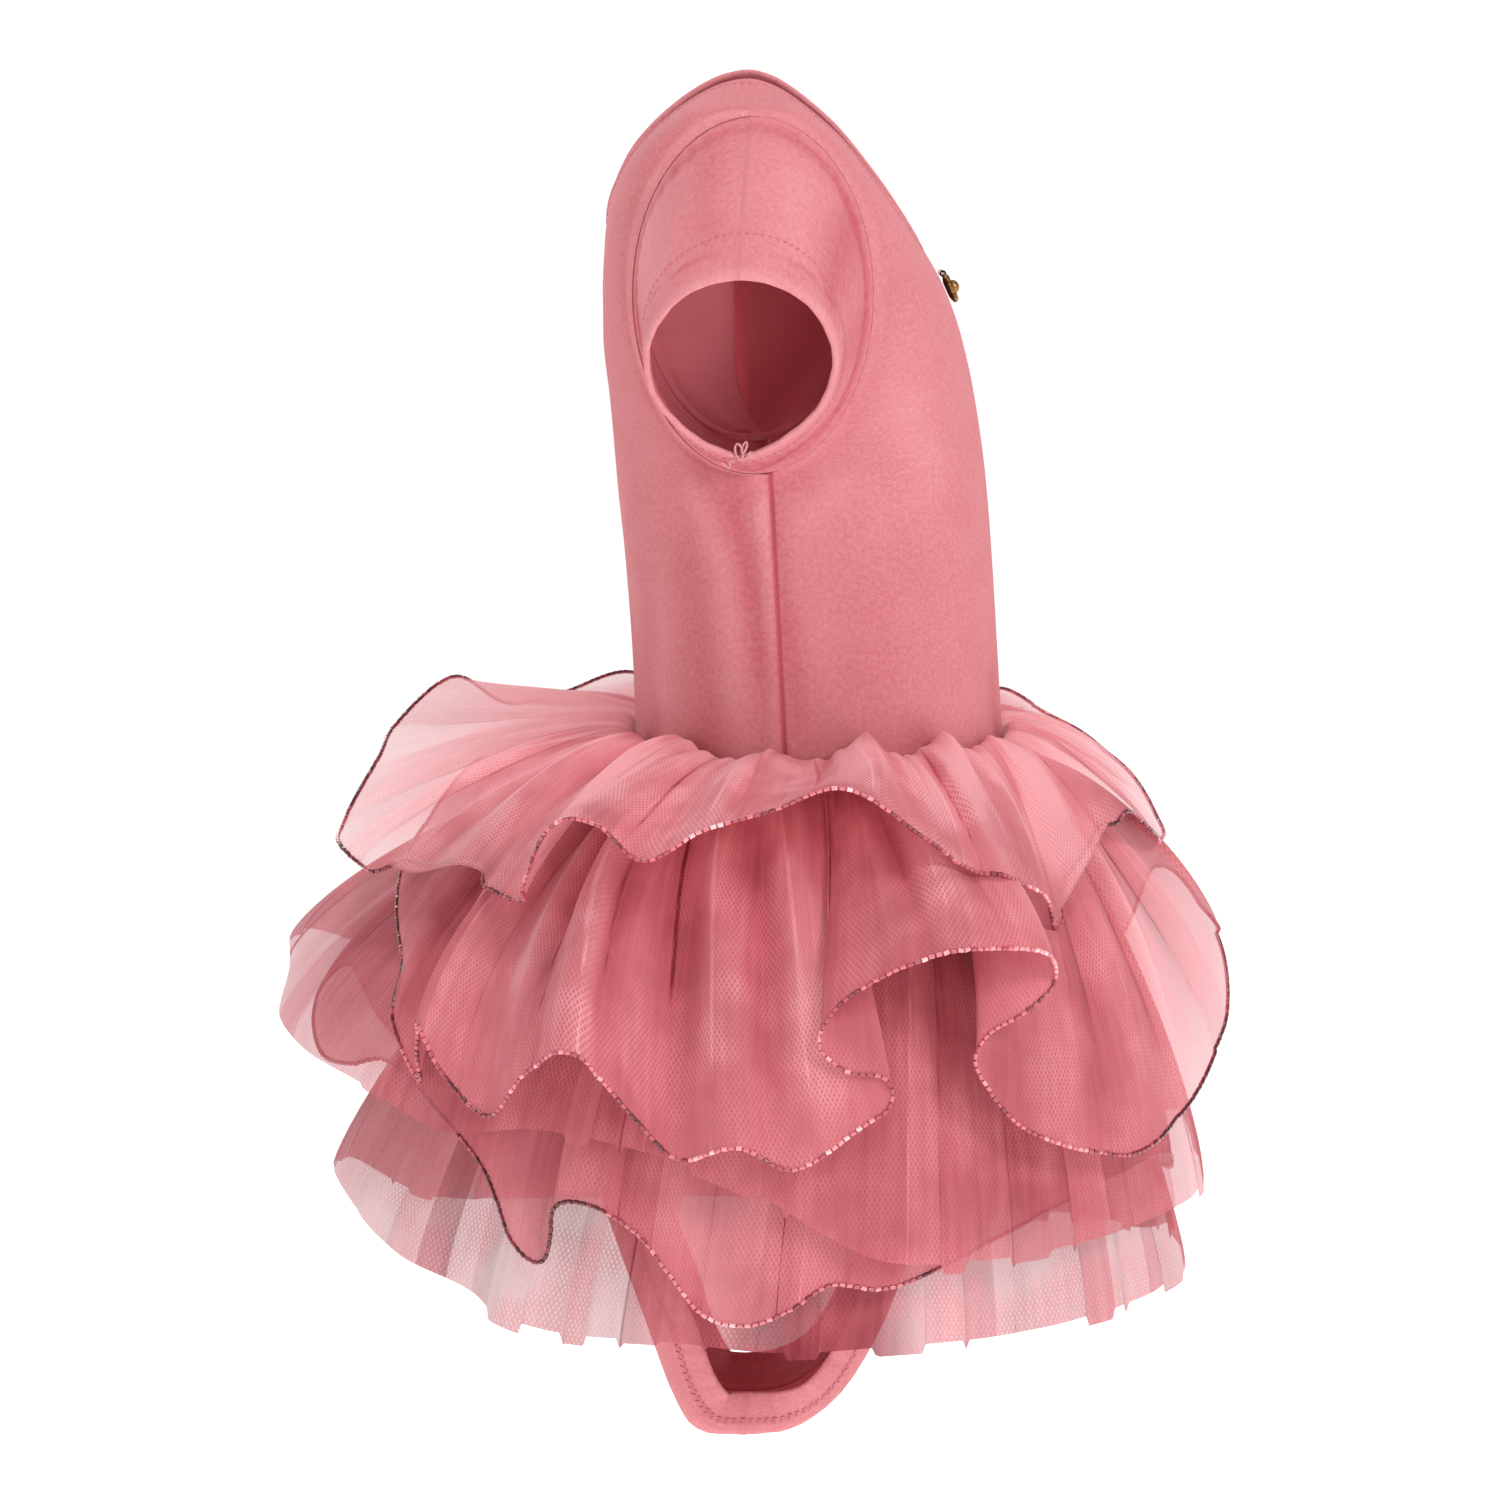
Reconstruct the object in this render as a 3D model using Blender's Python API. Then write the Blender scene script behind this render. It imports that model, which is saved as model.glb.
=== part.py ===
"""A toddler's ballet tutu: jersey leotard with short sleeves and a five tier tulle skirt.

Frame: +Z up, the chest faces -Y, +X is the wearer's left. The origin lies midway between
the two points where the shoulder seams meet the neckline. Tables and sizes are in
millimetres and meshes are made in metres.
"""
import bpy
import bmesh
import numpy as np

for old in list(bpy.data.objects):
    bpy.data.objects.remove(old, do_unlink=True)

MM = 0.001

# Cloth walls and seams.
JERSEY_WALL = 1.2
BAND_WALL = 1.6
TULLE_WALL = 1.1
SEAM_GAP = 0.3

# Neck, shoulder and armhole.
NECK_HALF_WIDTH = 52.0
NECK_DEPTH_FRONT = 56.6
NECK_DEPTH_BACK = 47.0
NECK_ROUNDNESS = 2.8
NECK_BAND_WIDTH = 3.6
ARMHOLE_CENTRE_Y = -1.5
ARMHOLE_CENTRE_Z = -73.0
ARMHOLE_HALF_DEPTH = 41.0
ARMHOLE_HALF_HEIGHT = 61.0

# Sleeve rings, given for the wearer's left side. The right sleeve is filled out and its
# hem is drawn to a point under the arm. The left one hangs half empty: it narrows past
# the armhole and its open hem is turned towards the back.
# part of the way to the hem, centre x, y, z, up x, y, z, half depth, pinch
RIGHT_SLEEVE = [(1.0, 110.0, 2.7, -94.0, 15.0, 0.0, 29.5, 32.5, 0.16)]
LEFT_SLEEVE = [
    (0.5, 95.0, -6.0, -84.0, 8.0, 2.0, 51.0, 12.5, 0.0),
    (0.75, 103.0, 7.0, -91.0, 10.0, 3.0, 46.0, 12.0, 0.0),
    (1.0, 110.0, 20.0, -98.0, 12.0, 4.0, 41.0, 12.0, 0.0),
]
FLAT_RATIO = 0.35
FLAT_FULLNESS = 1.25
SLEEVE_CAP_PUFF = 5.0
UNDERARM_DIP = 16.0

LEG_BAND_WIDTH = 13.0
LEG_BAND_PULL = 4.0

# Grid sizes.
PANEL_HALF_COLUMNS = 8
NECK_ROWS = 7
CHEST_ROWS = 4
WAIST_ROWS = 5
HIP_ROWS = 3
LEG_ROWS = 12
SLEEVE_AROUND = 36
SLEEVE_ROWS = 4
LEG_TOP_ROW = NECK_ROWS + CHEST_ROWS + WAIST_ROWS + HIP_ROWS

JERSEY_COLOUR = (0.72, 0.28, 0.31)
TULLE_COLOUR = (0.62, 0.19, 0.24)
BRASS_COLOUR = (0.2, 0.11, 0.05)

# Sections of the filled leotard, shoulder to waist.
# z, half width, front depth and back depth from y = 0, side seam y, squareness of the oval
BODY_SECTIONS = [
    (0.0, 52.0, 0.5, 0.5, 0.0, 6.0),
    (-2.0, 58.0, 8.0, 10.0, 0.0, 6.0),
    (-5.0, 67.0, 13.0, 16.0, 0.0, 6.0),
    (-12.0, 88.0, 22.0, 26.0, 0.0, 6.0),
    (-20.0, 88.0, 31.0, 35.0, -0.5, 6.0),
    (-30.0, 87.5, 39.5, 43.0, -1.1, 5.6),
    (-44.0, 87.0, 50.0, 48.5, -2.0, 5.0),
    (-60.0, 86.0, 60.0, 50.3, -2.9, 4.4),
    (-75.0, 85.5, 68.5, 51.0, -3.8, 3.8),
    (-90.0, 85.0, 74.0, 51.0, -4.7, 3.3),
    (-113.0, 84.5, 79.2, 48.8, -6.1, 2.8),
    (-141.0, 84.0, 83.2, 46.2, -7.7, 2.5),
    (-170.0, 83.5, 85.6, 43.5, -9.3, 2.3),
    (-205.0, 82.5, 87.8, 41.0, -11.1, 2.2),
    (-238.7, 82.0, 89.8, 39.6, -12.7, 2.2),
]

# Rows of the lower front and back, waist to crotch: the point on the centre line, the
# point on the side seam or leg seam, and how far round the oval the row runs (degrees).
# centre y, centre z, edge x, edge y, edge z, sweep
LOWER_FRONT = [
    (-89.8, -238.7, 82.0, -12.7, -238.7, 90.0),
    (-89.0, -262.0, 84.0, -12.6, -260.0, 90.0),
    (-86.0, -296.0, 86.0, -12.5, -292.0, 90.0),
    (-80.0, -331.0, 86.5, -12.5, -325.0, 90.0),
    (-75.0, -352.0, 81.0, -43.0, -338.0, 66.0),
    (-69.5, -374.0, 68.0, -58.0, -362.0, 56.0),
    (-62.5, -399.0, 54.0, -58.5, -390.0, 50.0),
    (-55.0, -424.0, 44.0, -51.0, -418.0, 50.0),
    (-45.5, -447.0, 39.0, -41.0, -443.0, 60.0),
    (-33.0, -464.5, 36.5, -29.0, -461.0, 72.0),
    (-16.5, -475.8, 35.5, -14.0, -470.5, 84.0),
    (1.4, -478.5, 35.0, 1.4, -472.5, 88.0),
]
LOWER_BACK = [
    (39.6, -238.7, 82.0, -12.7, -238.7, 90.0),
    (47.0, -262.0, 84.0, -12.6, -260.0, 90.0),
    (56.0, -296.0, 86.0, -12.5, -292.0, 90.0),
    (61.5, -331.0, 86.5, -12.5, -325.0, 90.0),
    (61.5, -353.0, 84.0, 14.0, -338.0, 66.0),
    (58.0, -375.0, 74.0, 36.0, -360.0, 58.0),
    (52.5, -397.0, 61.0, 42.0, -388.0, 52.0),
    (45.0, -419.0, 50.0, 37.5, -414.0, 54.0),
    (36.5, -443.0, 42.5, 29.0, -438.0, 62.0),
    (27.5, -465.5, 38.5, 22.0, -459.0, 74.0),
    (19.0, -477.0, 36.0, 14.0, -470.5, 84.0),
    (1.4, -478.5, 35.0, 1.4, -472.5, 88.0),
]
LOWER_SQUARENESS = 2.2

# The skirt. Each tier is gathered into a ring on the waist and its hem passes through
# these places. Turn is in degrees about the upright axis at SKIRT_AXIS_Y: 0 front,
# 90 wearer's left, 180 back, 270 wearer's right. Reach is out from that axis and drop is
# down from WAIST_Z.
SKIRT_AXIS_Y = -25.0
WAIST_Z = -237.0
TIER_PITCH = 2.6
TIER_LEVELS = (0.0, 0.14, 0.38, 0.68, 1.0)
BEADED_COLUMNS = 100
PLAIN_COLUMNS = 104

# turn, reach, drop
TOP_TIER = [
    (2, 121, 34), (14, 126, 30), (34, 127, 10), (49, 133, 1), (61, 138, -8), (70, 152, 6),
    (79, 168, 12), (88, 176, 2), (97, 170, -6), (106, 164, 4), (116, 156, -12), (127, 155, -6),
    (136, 158, -4), (147, 158, -15), (158, 164, -2), (168, 161, 8), (178, 168, 25),
    (188, 170, 32), (203, 160, 40), (217, 156, 34), (230, 161, 38), (234, 172, 30),
    (240, 181, 8), (246, 184, 7), (251, 184, 18), (257, 177, 8), (264, 171, 2),
    (272, 175, -6), (281, 168, 10), (288, 154, 24), (295, 147, 29), (304, 135, 38),
    (311, 124, 52), (322, 117, 38), (337, 115, 18), (350, 119, 28),
]
MIDDLE_TIER = [
    (8, 144, 68), (26, 138, 50), (40, 148, 78), (52, 158, 108), (63, 154, 84), (71, 168, 62),
    (80, 182, 80), (88, 178, 112), (96, 182, 92), (104, 190, 62), (113, 182, 70),
    (122, 176, 98), (133, 170, 78), (142, 160, 40), (150, 140, 12), (167, 140, 24),
    (184, 148, 42), (199, 156, 58), (207, 163, 68), (212, 174, 84), (217, 172, 104),
    (222, 186, 80), (227, 188, 96), (233, 187, 108), (239, 192, 90), (245, 196, 83),
    (250, 182, 106), (254, 174, 120), (261, 182, 114), (267, 181, 121), (274, 180, 106),
    (276, 174, 92), (276, 173, 76), (281, 184, 55), (288, 178, 56), (291, 164, 74),
    (291, 161, 96), (299, 158, 119), (313, 153, 127), (331, 147, 115), (352, 145, 90),
]
SPARE_TIER = [
    (4, 135, 146), (20, 139, 138), (38, 142, 148), (56, 152, 142), (74, 164, 150),
    (90, 167, 140), (108, 170, 132), (124, 172, 124), (140, 176, 104), (152, 186, 84),
    (165, 195, 72), (176, 190, 82), (186, 192, 93), (196, 187, 101), (207, 180, 107),
    (220, 170, 120), (235, 168, 115), (250, 164, 121), (262, 166, 132), (270, 165, 146),
    (278, 165, 156), (290, 157, 158), (305, 150, 157), (320, 146, 154), (340, 141, 151),
]
LOWER_TIER = [
    (0, 126, 150), (18, 130, 156), (36, 136, 154), (54, 144, 164), (70, 150, 160),
    (84, 157, 172), (98, 160, 158), (112, 162, 164), (126, 163, 146), (140, 164, 144),
    (154, 165, 120), (166, 165, 100), (175, 168, 80), (182, 176, 83), (187, 180, 93),
    (194, 180, 103), (202, 177, 103), (208, 170, 100), (216, 166, 112), (225, 165, 130),
    (231, 168, 154), (235, 166, 160), (237, 167, 141), (242, 167, 139), (248, 166, 148),
    (252, 168, 160), (256, 166, 174), (261, 166, 177), (266, 164, 172), (271, 160, 164),
    (278, 156, 166), (288, 150, 158), (302, 143, 146), (320, 135, 138), (340, 128, 138),
]
BOTTOM_TIER = [
    (4, 127, 172), (22, 127, 181), (42, 134, 184), (64, 146, 188), (86, 151, 188),
    (108, 157, 187), (130, 160, 183), (150, 164, 175), (168, 170, 154), (182, 170, 147),
    (196, 177, 145), (211, 174, 164), (222, 163, 175), (228, 168, 180), (237, 163, 185),
    (250, 161, 185), (264, 152, 189), (279, 152, 187), (295, 144, 187), (312, 142, 184),
    (328, 139, 181), (340, 137, 177), (352, 126, 171),
]

# name, hem table, bow of the cloth outwards, lateness of the fall, puff at the waist,
# columns, height of the gathers at the hem
TIERS = [
    ("tulle_tier_1_beaded", TOP_TIER, 1.15, 1.5, 7.0, BEADED_COLUMNS, 0.0),
    ("tulle_tier_2_beaded", MIDDLE_TIER, 1.3, 1.35, 2.0, BEADED_COLUMNS, 0.0),
    ("tulle_tier_3_plain", SPARE_TIER, 1.3, 1.25, 0.0, PLAIN_COLUMNS, 2.2),
    ("tulle_tier_4_beaded", LOWER_TIER, 1.35, 1.2, 0.0, BEADED_COLUMNS, 0.0),
    ("tulle_tier_5_plain", BOTTOM_TIER, 1.2, 1.05, 0.0, PLAIN_COLUMNS, 2.8),
]

# Charm on the chest: profile from its seat outwards.
# height off the cloth, radius, depth of the petals
CHARM_PROFILE = [
    (0.0, 2.6, 0.0), (0.7, 4.6, 0.4), (1.7, 5.2, 0.6), (2.9, 4.3, 0.6), (3.5, 2.6, 0.2),
    (4.3, 2.0, 0.0), (4.9, 1.0, 0.0),
]
CHARM_Z = -76.0
CHARM_PETALS = 6
CHARM_AROUND = 24
CHARM_SEAT = 0.35
CHARM_SLOPE_SPAN = 12.0


def smooth_column(table, column, at):
    """Monotone cubic through one column of a table whose first column falls."""
    rows = np.array(table, float)
    keys, values = -rows[:, 0], rows[:, column]
    step = np.diff(keys)
    slope = np.diff(values) / step
    before, after = slope[:-1], slope[1:]
    rising = before * after > 0
    total = np.where(rising, before + after, 1)
    tangent = np.zeros(len(keys))
    tangent[1:-1] = np.where(rising, 2 * before * after / total, 0)
    tangent[0], tangent[-1] = slope[0], slope[-1]
    where = np.clip(-np.asarray(at, float), keys[0], keys[-1])
    index = np.clip(np.searchsorted(keys, where, side="right") - 1, 0, len(step) - 1)
    width = step[index]
    part = (where - keys[index]) / width
    return (values[index] * (1 + 2 * part) * (1 - part) ** 2
            + tangent[index] * width * part * (1 - part) ** 2
            + values[index + 1] * part ** 2 * (3 - 2 * part)
            - tangent[index + 1] * width * part ** 2 * (1 - part))


def spline(points, per_span):
    """Catmull-Rom curve through rows of numbers."""
    first, last = 2 * points[0] - points[1], 2 * points[-1] - points[-2]
    padded = np.concatenate([[first], points, [last]])
    part = np.linspace(0, 1, per_span, endpoint=False)[None, :, None]
    before, start, end, after = (padded[i:len(padded) - 3 + i, None] for i in range(4))
    curve = 0.5 * (2 * start + (end - before) * part
                   + (2 * before - 5 * start + 4 * end - after) * part ** 2
                   + (3 * start - before - 3 * end + after) * part ** 3)
    return np.concatenate([curve.reshape(-1, points.shape[1]), points[-1:]])


def resample(values, track, count):
    """Rows of values at even steps along the length of track."""
    length = np.concatenate([[0], np.cumsum(np.linalg.norm(np.diff(track, axis=0), axis=1))])
    places = np.linspace(0, length[-1], count)
    return np.stack([np.interp(places, length, column) for column in values.T], axis=1)


def body_point(turn, z, front):
    """Point of the filled body at a turn (radians from the centre line) and height."""
    width, depth_front, depth_back, seam, square = (
        smooth_column(BODY_SECTIONS, column, z) for column in range(1, 6))
    cos, sin = np.abs(np.cos(turn)), np.abs(np.sin(turn))
    ring = (cos ** square + sin ** square) ** (-1 / square)
    depth = -(depth_front + seam) if front else depth_back - seam
    return np.stack([width * ring * sin, seam + depth * ring * cos, z], axis=-1)


def turn_from_x(x, z):
    width, square = smooth_column(BODY_SECTIONS, 1, z), smooth_column(BODY_SECTIONS, 5, z)
    side = np.clip(x / width, 0, 1)
    return np.arctan2(side, np.maximum(1 - side ** square, 0) ** (1 / square))


def turn_from_y(y, z, front):
    seam, square = smooth_column(BODY_SECTIONS, 4, z), smooth_column(BODY_SECTIONS, 5, z)
    if front:
        depth = -(smooth_column(BODY_SECTIONS, 2, z) + seam)
    else:
        depth = smooth_column(BODY_SECTIONS, 3, z) - seam
    ahead = np.clip((y - seam) / depth, 0, 1)
    return np.arctan2(np.maximum(1 - ahead ** square, 0) ** (1 / square), ahead)


def neck_edge(front, count):
    """(turn, z) along the panel's neckline, from the shoulder seam to the centre."""
    depth = NECK_DEPTH_FRONT if front else NECK_DEPTH_BACK
    top = -NECK_BAND_WIDTH / 3
    angle = np.linspace(0, np.pi / 2, 400)
    x = (NECK_HALF_WIDTH + NECK_BAND_WIDTH) * np.cos(angle) ** (2 / NECK_ROUNDNESS)
    z = top - (depth + NECK_BAND_WIDTH + top) * np.sin(angle) ** (2 / NECK_ROUNDNESS)
    turn = turn_from_x(x, z)
    turn[0], turn[-1] = np.pi / 2, 0
    return resample(np.stack([turn, z], 1), body_point(turn, z, front), count)


def armhole_edge(front, count):
    """(turn, z) along the armhole from the shoulder tip to the underarm seam."""
    angle = np.linspace(0, np.pi, 600)
    side = -1 if front else 1
    y = ARMHOLE_CENTRE_Y + side * ARMHOLE_HALF_DEPTH * np.sin(angle)
    z = ARMHOLE_CENTRE_Z + ARMHOLE_HALF_HEIGHT * np.cos(angle)
    own = side * (y - smooth_column(BODY_SECTIONS, 4, z)) > 0
    y, z = y[own], z[own]
    turn = turn_from_y(y, z, front)
    turn[0] = turn[-1] = np.pi / 2
    return resample(np.stack([turn, z], 1), body_point(turn, z, front), count)


def upper_rows(front):
    """Rows of the half panel from the shoulder seam to the waist."""
    neck = neck_edge(front, NECK_ROWS + 1)
    arm_rows = NECK_ROWS + CHEST_ROWS
    arm = armhole_edge(front, arm_rows + 1)
    waist = BODY_SECTIONS[-1][0]
    level = arm[-1, 1] - UNDERARM_DIP
    centre_z = np.concatenate([np.linspace(neck[-1, 1], level, CHEST_ROWS + 1)[1:],
                               np.linspace(level, waist, WAIST_ROWS + 1)[1:]])
    seam_z = np.linspace(arm[-1, 1], waist, WAIST_ROWS + 1)[1:]
    left = np.concatenate([neck, [(0, z) for z in centre_z]])
    right = np.concatenate([arm, [(np.pi / 2, z) for z in seam_z]])
    part = np.linspace(0, 1, 80)[:, None]
    rows = []
    for start, end in zip(left, right):
        line = start + (end - start) * part
        points = body_point(line[:, 0], line[:, 1], front)
        rows.append(resample(points, points, PANEL_HALF_COLUMNS + 1))
    return rows


def lower_rows(front):
    """Rows of the half panel below the waist, ending at the crotch seam."""
    table = np.array(LOWER_FRONT if front else LOWER_BACK, float)
    hips, legs = spline(table[:4], 8), spline(table[3:], 8)
    hips = resample(hips, hips[:, 2:5], HIP_ROWS + 1)[1:]
    legs = resample(legs, legs[:, 2:5], LEG_ROWS + 1)[1:]
    part = np.linspace(0, 1, 80)
    rows = []
    for centre_y, centre_z, edge_x, edge_y, edge_z, sweep in np.concatenate([hips, legs]):
        limit = np.radians(min(sweep, 90))
        sin = np.sin(part * limit) ** (2 / LOWER_SQUARENESS)
        fall = 1 - np.cos(part * limit) ** (2 / LOWER_SQUARENESS)
        sin, fall = sin / sin[-1], fall / fall[-1]
        points = np.stack([edge_x * sin, centre_y + (edge_y - centre_y) * fall,
                           centre_z + (edge_z - centre_z) * fall], axis=1)
        rows.append(resample(points, points, PANEL_HALF_COLUMNS + 1))
    return rows


def grid_normals(grid, ring=False):
    """Unit normals of a grid of points, rows by columns."""
    down = np.gradient(grid, axis=0)
    if ring:
        across = np.roll(grid, -1, axis=1) - np.roll(grid, 1, axis=1)
    else:
        across = np.gradient(grid, axis=1)
    normal = np.cross(down, across)
    return normal / np.linalg.norm(normal, axis=2, keepdims=True)


def paint(obj, name, colour, roughness, metallic=0.0):
    material = bpy.data.materials.new(name)
    material.use_nodes = True
    shader = material.node_tree.nodes["Principled BSDF"]
    shader.inputs["Base Color"].default_value = (*colour, 1)
    shader.inputs["Roughness"].default_value = roughness
    shader.inputs["Metallic"].default_value = metallic
    obj.data.materials.append(material)


def add_mesh(name, points, faces, weld=False):
    mesh = bpy.data.meshes.new(name)
    mesh.from_pydata((points * MM).tolist(), [], faces)
    form = bmesh.new()
    form.from_mesh(mesh)
    if weld:
        middle = [v for v in form.verts if abs(v.co.x) < 1e-7]
        bmesh.ops.remove_doubles(form, verts=middle, dist=1e-6)
    bmesh.ops.recalc_face_normals(form, faces=form.faces)
    form.to_mesh(mesh)
    form.free()
    mesh.shade_smooth()
    mesh.set_sharp_from_angle(angle=np.radians(50))
    obj = bpy.data.objects.new(name, mesh)
    bpy.context.scene.collection.objects.link(obj)
    return obj


def wall_faces(rows, columns, joined, open_rows=None):
    """Triangles of a wall between an outer and an inner grid of the same shape.

    joined makes the columns a ring. Otherwise open_rows is the number of rows whose first
    column has an edge of its own; below them that column is left for the mirrored half.
    """
    count = rows * columns
    faces = []
    for row in range(rows - 1):
        for column in range(columns if joined else columns - 1):
            a = row * columns + column
            b = row * columns + (column + 1) % columns
            faces += [(a, b, b + columns), (a, b + columns, a + columns)]
            faces += [(count + a, count + b + columns, count + b),
                      (count + a, count + a + columns, count + b + columns)]
    edges = []
    for column in range(columns if joined else columns - 1):
        for row in (0, rows - 1):
            edges.append((row * columns + column, row * columns + (column + 1) % columns))
    if not joined:
        for row in range(rows - 1):
            edges.append(((row + 1) * columns - 1, (row + 2) * columns - 1))
            if row < open_rows:
                edges.append((row * columns, (row + 1) * columns))
    for a, b in edges:
        faces += [(a, b, b + count), (a, b + count, a + count)]
    return faces


def add_ring(name, outer, inner):
    points = np.concatenate([outer.reshape(-1, 3), inner.reshape(-1, 3)])
    return add_mesh(name, points, wall_faces(*outer.shape[:2], True))


def add_panel(name, outer, inner):
    """Half wall and its mirror image, welded down the centre line below the neck."""
    half = np.concatenate([outer.reshape(-1, 3), inner.reshape(-1, 3)])
    faces = wall_faces(*outer.shape[:2], False, NECK_ROWS)
    points = np.concatenate([half, half * (-1, 1, 1)])
    mirrored = [tuple(len(half) + i for i in face[::-1]) for face in faces]
    return add_mesh(name, points, faces + mirrored, weld=True)


def build_panel(front):
    """Outer half grid and outward normals of the front or back, shoulder to crotch."""
    grid = np.array(upper_rows(front) + lower_rows(front))
    grid[:, :, 1] += (-0.5 if front else 0.5) * SEAM_GAP
    normal = grid_normals(grid)
    if normal[LEG_TOP_ROW, 0, 1] * (-1 if front else 1) < 0:
        normal = -normal
    normal[NECK_ROWS:, 0, 0] = 0
    normal[0, :, 1] = 0
    normal[-1, :, 1] = 0
    normal[NECK_ROWS + CHEST_ROWS:LEG_TOP_ROW + 1, -1, 1] = 0
    return grid, normal / np.linalg.norm(normal, axis=2, keepdims=True)


def add_band(name, loop, width, rise, gap):
    """Doubled strip past a panel's edge. loop is edge, normal and a point inside the panel."""
    edge, normal, inside = loop
    tangent = np.roll(edge, -1, axis=0) - np.roll(edge, 1, axis=0)
    outward = np.cross(tangent, normal)
    outward /= np.linalg.norm(outward, axis=1, keepdims=True)
    outward *= np.sign(np.sum(outward * (edge - inside), axis=1))[:, None]
    steps = np.linspace(gap, width, 3)
    outer = np.array([edge + outward * s + normal * rise * (s / width) ** 2 for s in steps])
    obj = add_ring(name, outer, outer - normal * BAND_WALL)
    paint(obj, name, JERSEY_COLOUR, 0.85)


def mean_ends(front, back):
    """Front rows then back rows as one run, their two meeting points made one."""
    return np.concatenate([front[:-1], (front[-1:] + back[:1]) / 2, back[1:]])


def neck_loop(front_panel, back_panel):
    """Edge, normal and inside points round the neckline."""
    parts = []
    for values, column in ((0, 0), (1, 0), (0, 1)):
        rows = slice(0, NECK_ROWS + 1)
        half = mean_ends(front_panel[values][rows, column][::-1], back_panel[values][rows, column])
        parts.append(np.concatenate([half, half[-2:0:-1] * (-1, 1, 1)]))
    return parts


def leg_loop(front_panel, back_panel, side):
    """Edge, normal and inside points round one leg seam."""
    above = front_panel[0][LEG_TOP_ROW - 1, -1]
    parts = []
    for values, column in ((0, -1), (1, -1), (0, -2)):
        down = front_panel[values][LEG_TOP_ROW:, column]
        up = back_panel[values][LEG_TOP_ROW:, column][::-1]
        run = mean_ends(down, up)
        run[0] = (run[0] + run[-1]) / 2
        parts.append(run[:-1] * (side, 1, 1))
    parts[2][0] = above * (side, 1, 1)
    return parts


def sleeve_ring(row):
    """Points round one ring of a sleeve, from its top over the front."""
    centre, up, half_depth, pinch = np.array(row[1:4]), np.array(row[4:7]), row[7], row[8]
    tall = np.linalg.norm(up)
    if half_depth < FLAT_RATIO * tall:
        angle = np.linspace(0, 2 * np.pi, 721)
        oval = np.stack([half_depth * np.clip(FLAT_FULLNESS * np.sin(angle), -1, 1),
                         tall * np.cos(angle)], axis=1)
        oval = resample(oval, oval, SLEEVE_AROUND + 1)
    else:
        angle = np.linspace(0, 2 * np.pi, SLEEVE_AROUND + 1)
        sharp = pinch * np.maximum(0, -np.cos(angle)) * (1 - np.abs(np.sin(angle))) ** 1.5
        oval = np.stack([half_depth * np.sin(angle), tall * (np.cos(angle) - sharp)], axis=1)
    oval = oval[:-1]
    return centre + oval[:, 1:] * up / tall - oval[:, :1] * (0, 1, 0)


def build_sleeve(name, side, rings):
    angle = np.linspace(0, 2 * np.pi, SLEEVE_AROUND, endpoint=False)
    sin, cos = np.sin(angle), np.cos(angle)
    across = np.stack([0 * angle, -sin / ARMHOLE_HALF_DEPTH, cos / ARMHOLE_HALF_HEIGHT], axis=1)
    across /= np.linalg.norm(across, axis=1, keepdims=True)
    y = ARMHOLE_CENTRE_Y - ARMHOLE_HALF_DEPTH * sin
    z = ARMHOLE_CENTRE_Z + ARMHOLE_HALF_HEIGHT * cos
    ahead = (y < smooth_column(BODY_SECTIONS, 4, z))[:, None]
    root = np.where(ahead, body_point(turn_from_y(y, z, True), z, True),
                    body_point(turn_from_y(y, z, False), z, False))
    root[:, 1] = y
    root = root - across * SEAM_GAP + (SEAM_GAP + 0.1, 0, 0)
    places = [0.0] + [row[0] for row in rings]
    curves = [root] + [sleeve_ring(row) for row in rings]
    outer = []
    for part in np.linspace(0, 1, SLEEVE_ROWS + 1):
        after = max(1, int(np.searchsorted(places, part)))
        share = (part - places[after - 1]) / (places[after] - places[after - 1])
        puff = SLEEVE_CAP_PUFF * 4 * part * (1 - part) * np.clip(cos + 0.3, 0, 1)
        outer.append(curves[after - 1] * (1 - share) + curves[after] * share
                     + puff[:, None] * (0.6, 0, 0.8))
    outer = np.array(outer)
    normal = grid_normals(outer, ring=True)
    from_middle = outer[:2] - outer[:2].mean(axis=1, keepdims=True)
    if np.mean(np.sum(normal[:2] * from_middle, axis=2)) < 0:
        normal = -normal
    normal[0] = across
    flip = np.array((side, 1, 1))
    obj = add_ring(name, outer * flip, (outer - normal * JERSEY_WALL) * flip)
    paint(obj, name, JERSEY_COLOUR, 0.85)


def waist_reach(turn, z, panels):
    """Reach of the leotard from the skirt's axis at a turn and height."""
    line = []
    for grid, order in ((panels[0][0], 1), (panels[1][0], -1)):
        heights = -grid[NECK_ROWS:, :, 2].mean(axis=1)
        rows = grid[NECK_ROWS:]
        after = np.searchsorted(heights, -z)
        part = (-z - heights[after - 1]) / (heights[after] - heights[after - 1])
        line.append((rows[after - 1] * (1 - part) + rows[after] * part)[::order])
    line = np.concatenate(line)
    angle = np.arctan2(line[:, 0], SKIRT_AXIS_Y - line[:, 1])
    reach = np.hypot(line[:, 0], SKIRT_AXIS_Y - line[:, 1])
    folded = np.abs((np.asarray(turn) + np.pi) % (2 * np.pi) - np.pi)
    return np.interp(folded, angle, reach)


def hem_line(table, columns):
    """Turn (radians), reach and drop at even steps along a tier's hem."""
    rows = np.array(table, float)
    wrapped = np.concatenate([rows[-2:] - (360, 0, 0), rows, rows[:3] + (360, 0, 0)])
    curve = spline(wrapped, 14)
    curve = curve[2 * 14:(2 + len(rows)) * 14 + 1]
    curve[:, 0] = np.radians(curve[:, 0])
    track = np.stack([curve[:, 1] * np.sin(curve[:, 0]), curve[:, 1] * np.cos(curve[:, 0]),
                      curve[:, 2]], axis=1)
    return resample(curve, track, columns + 1)[:-1]


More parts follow.
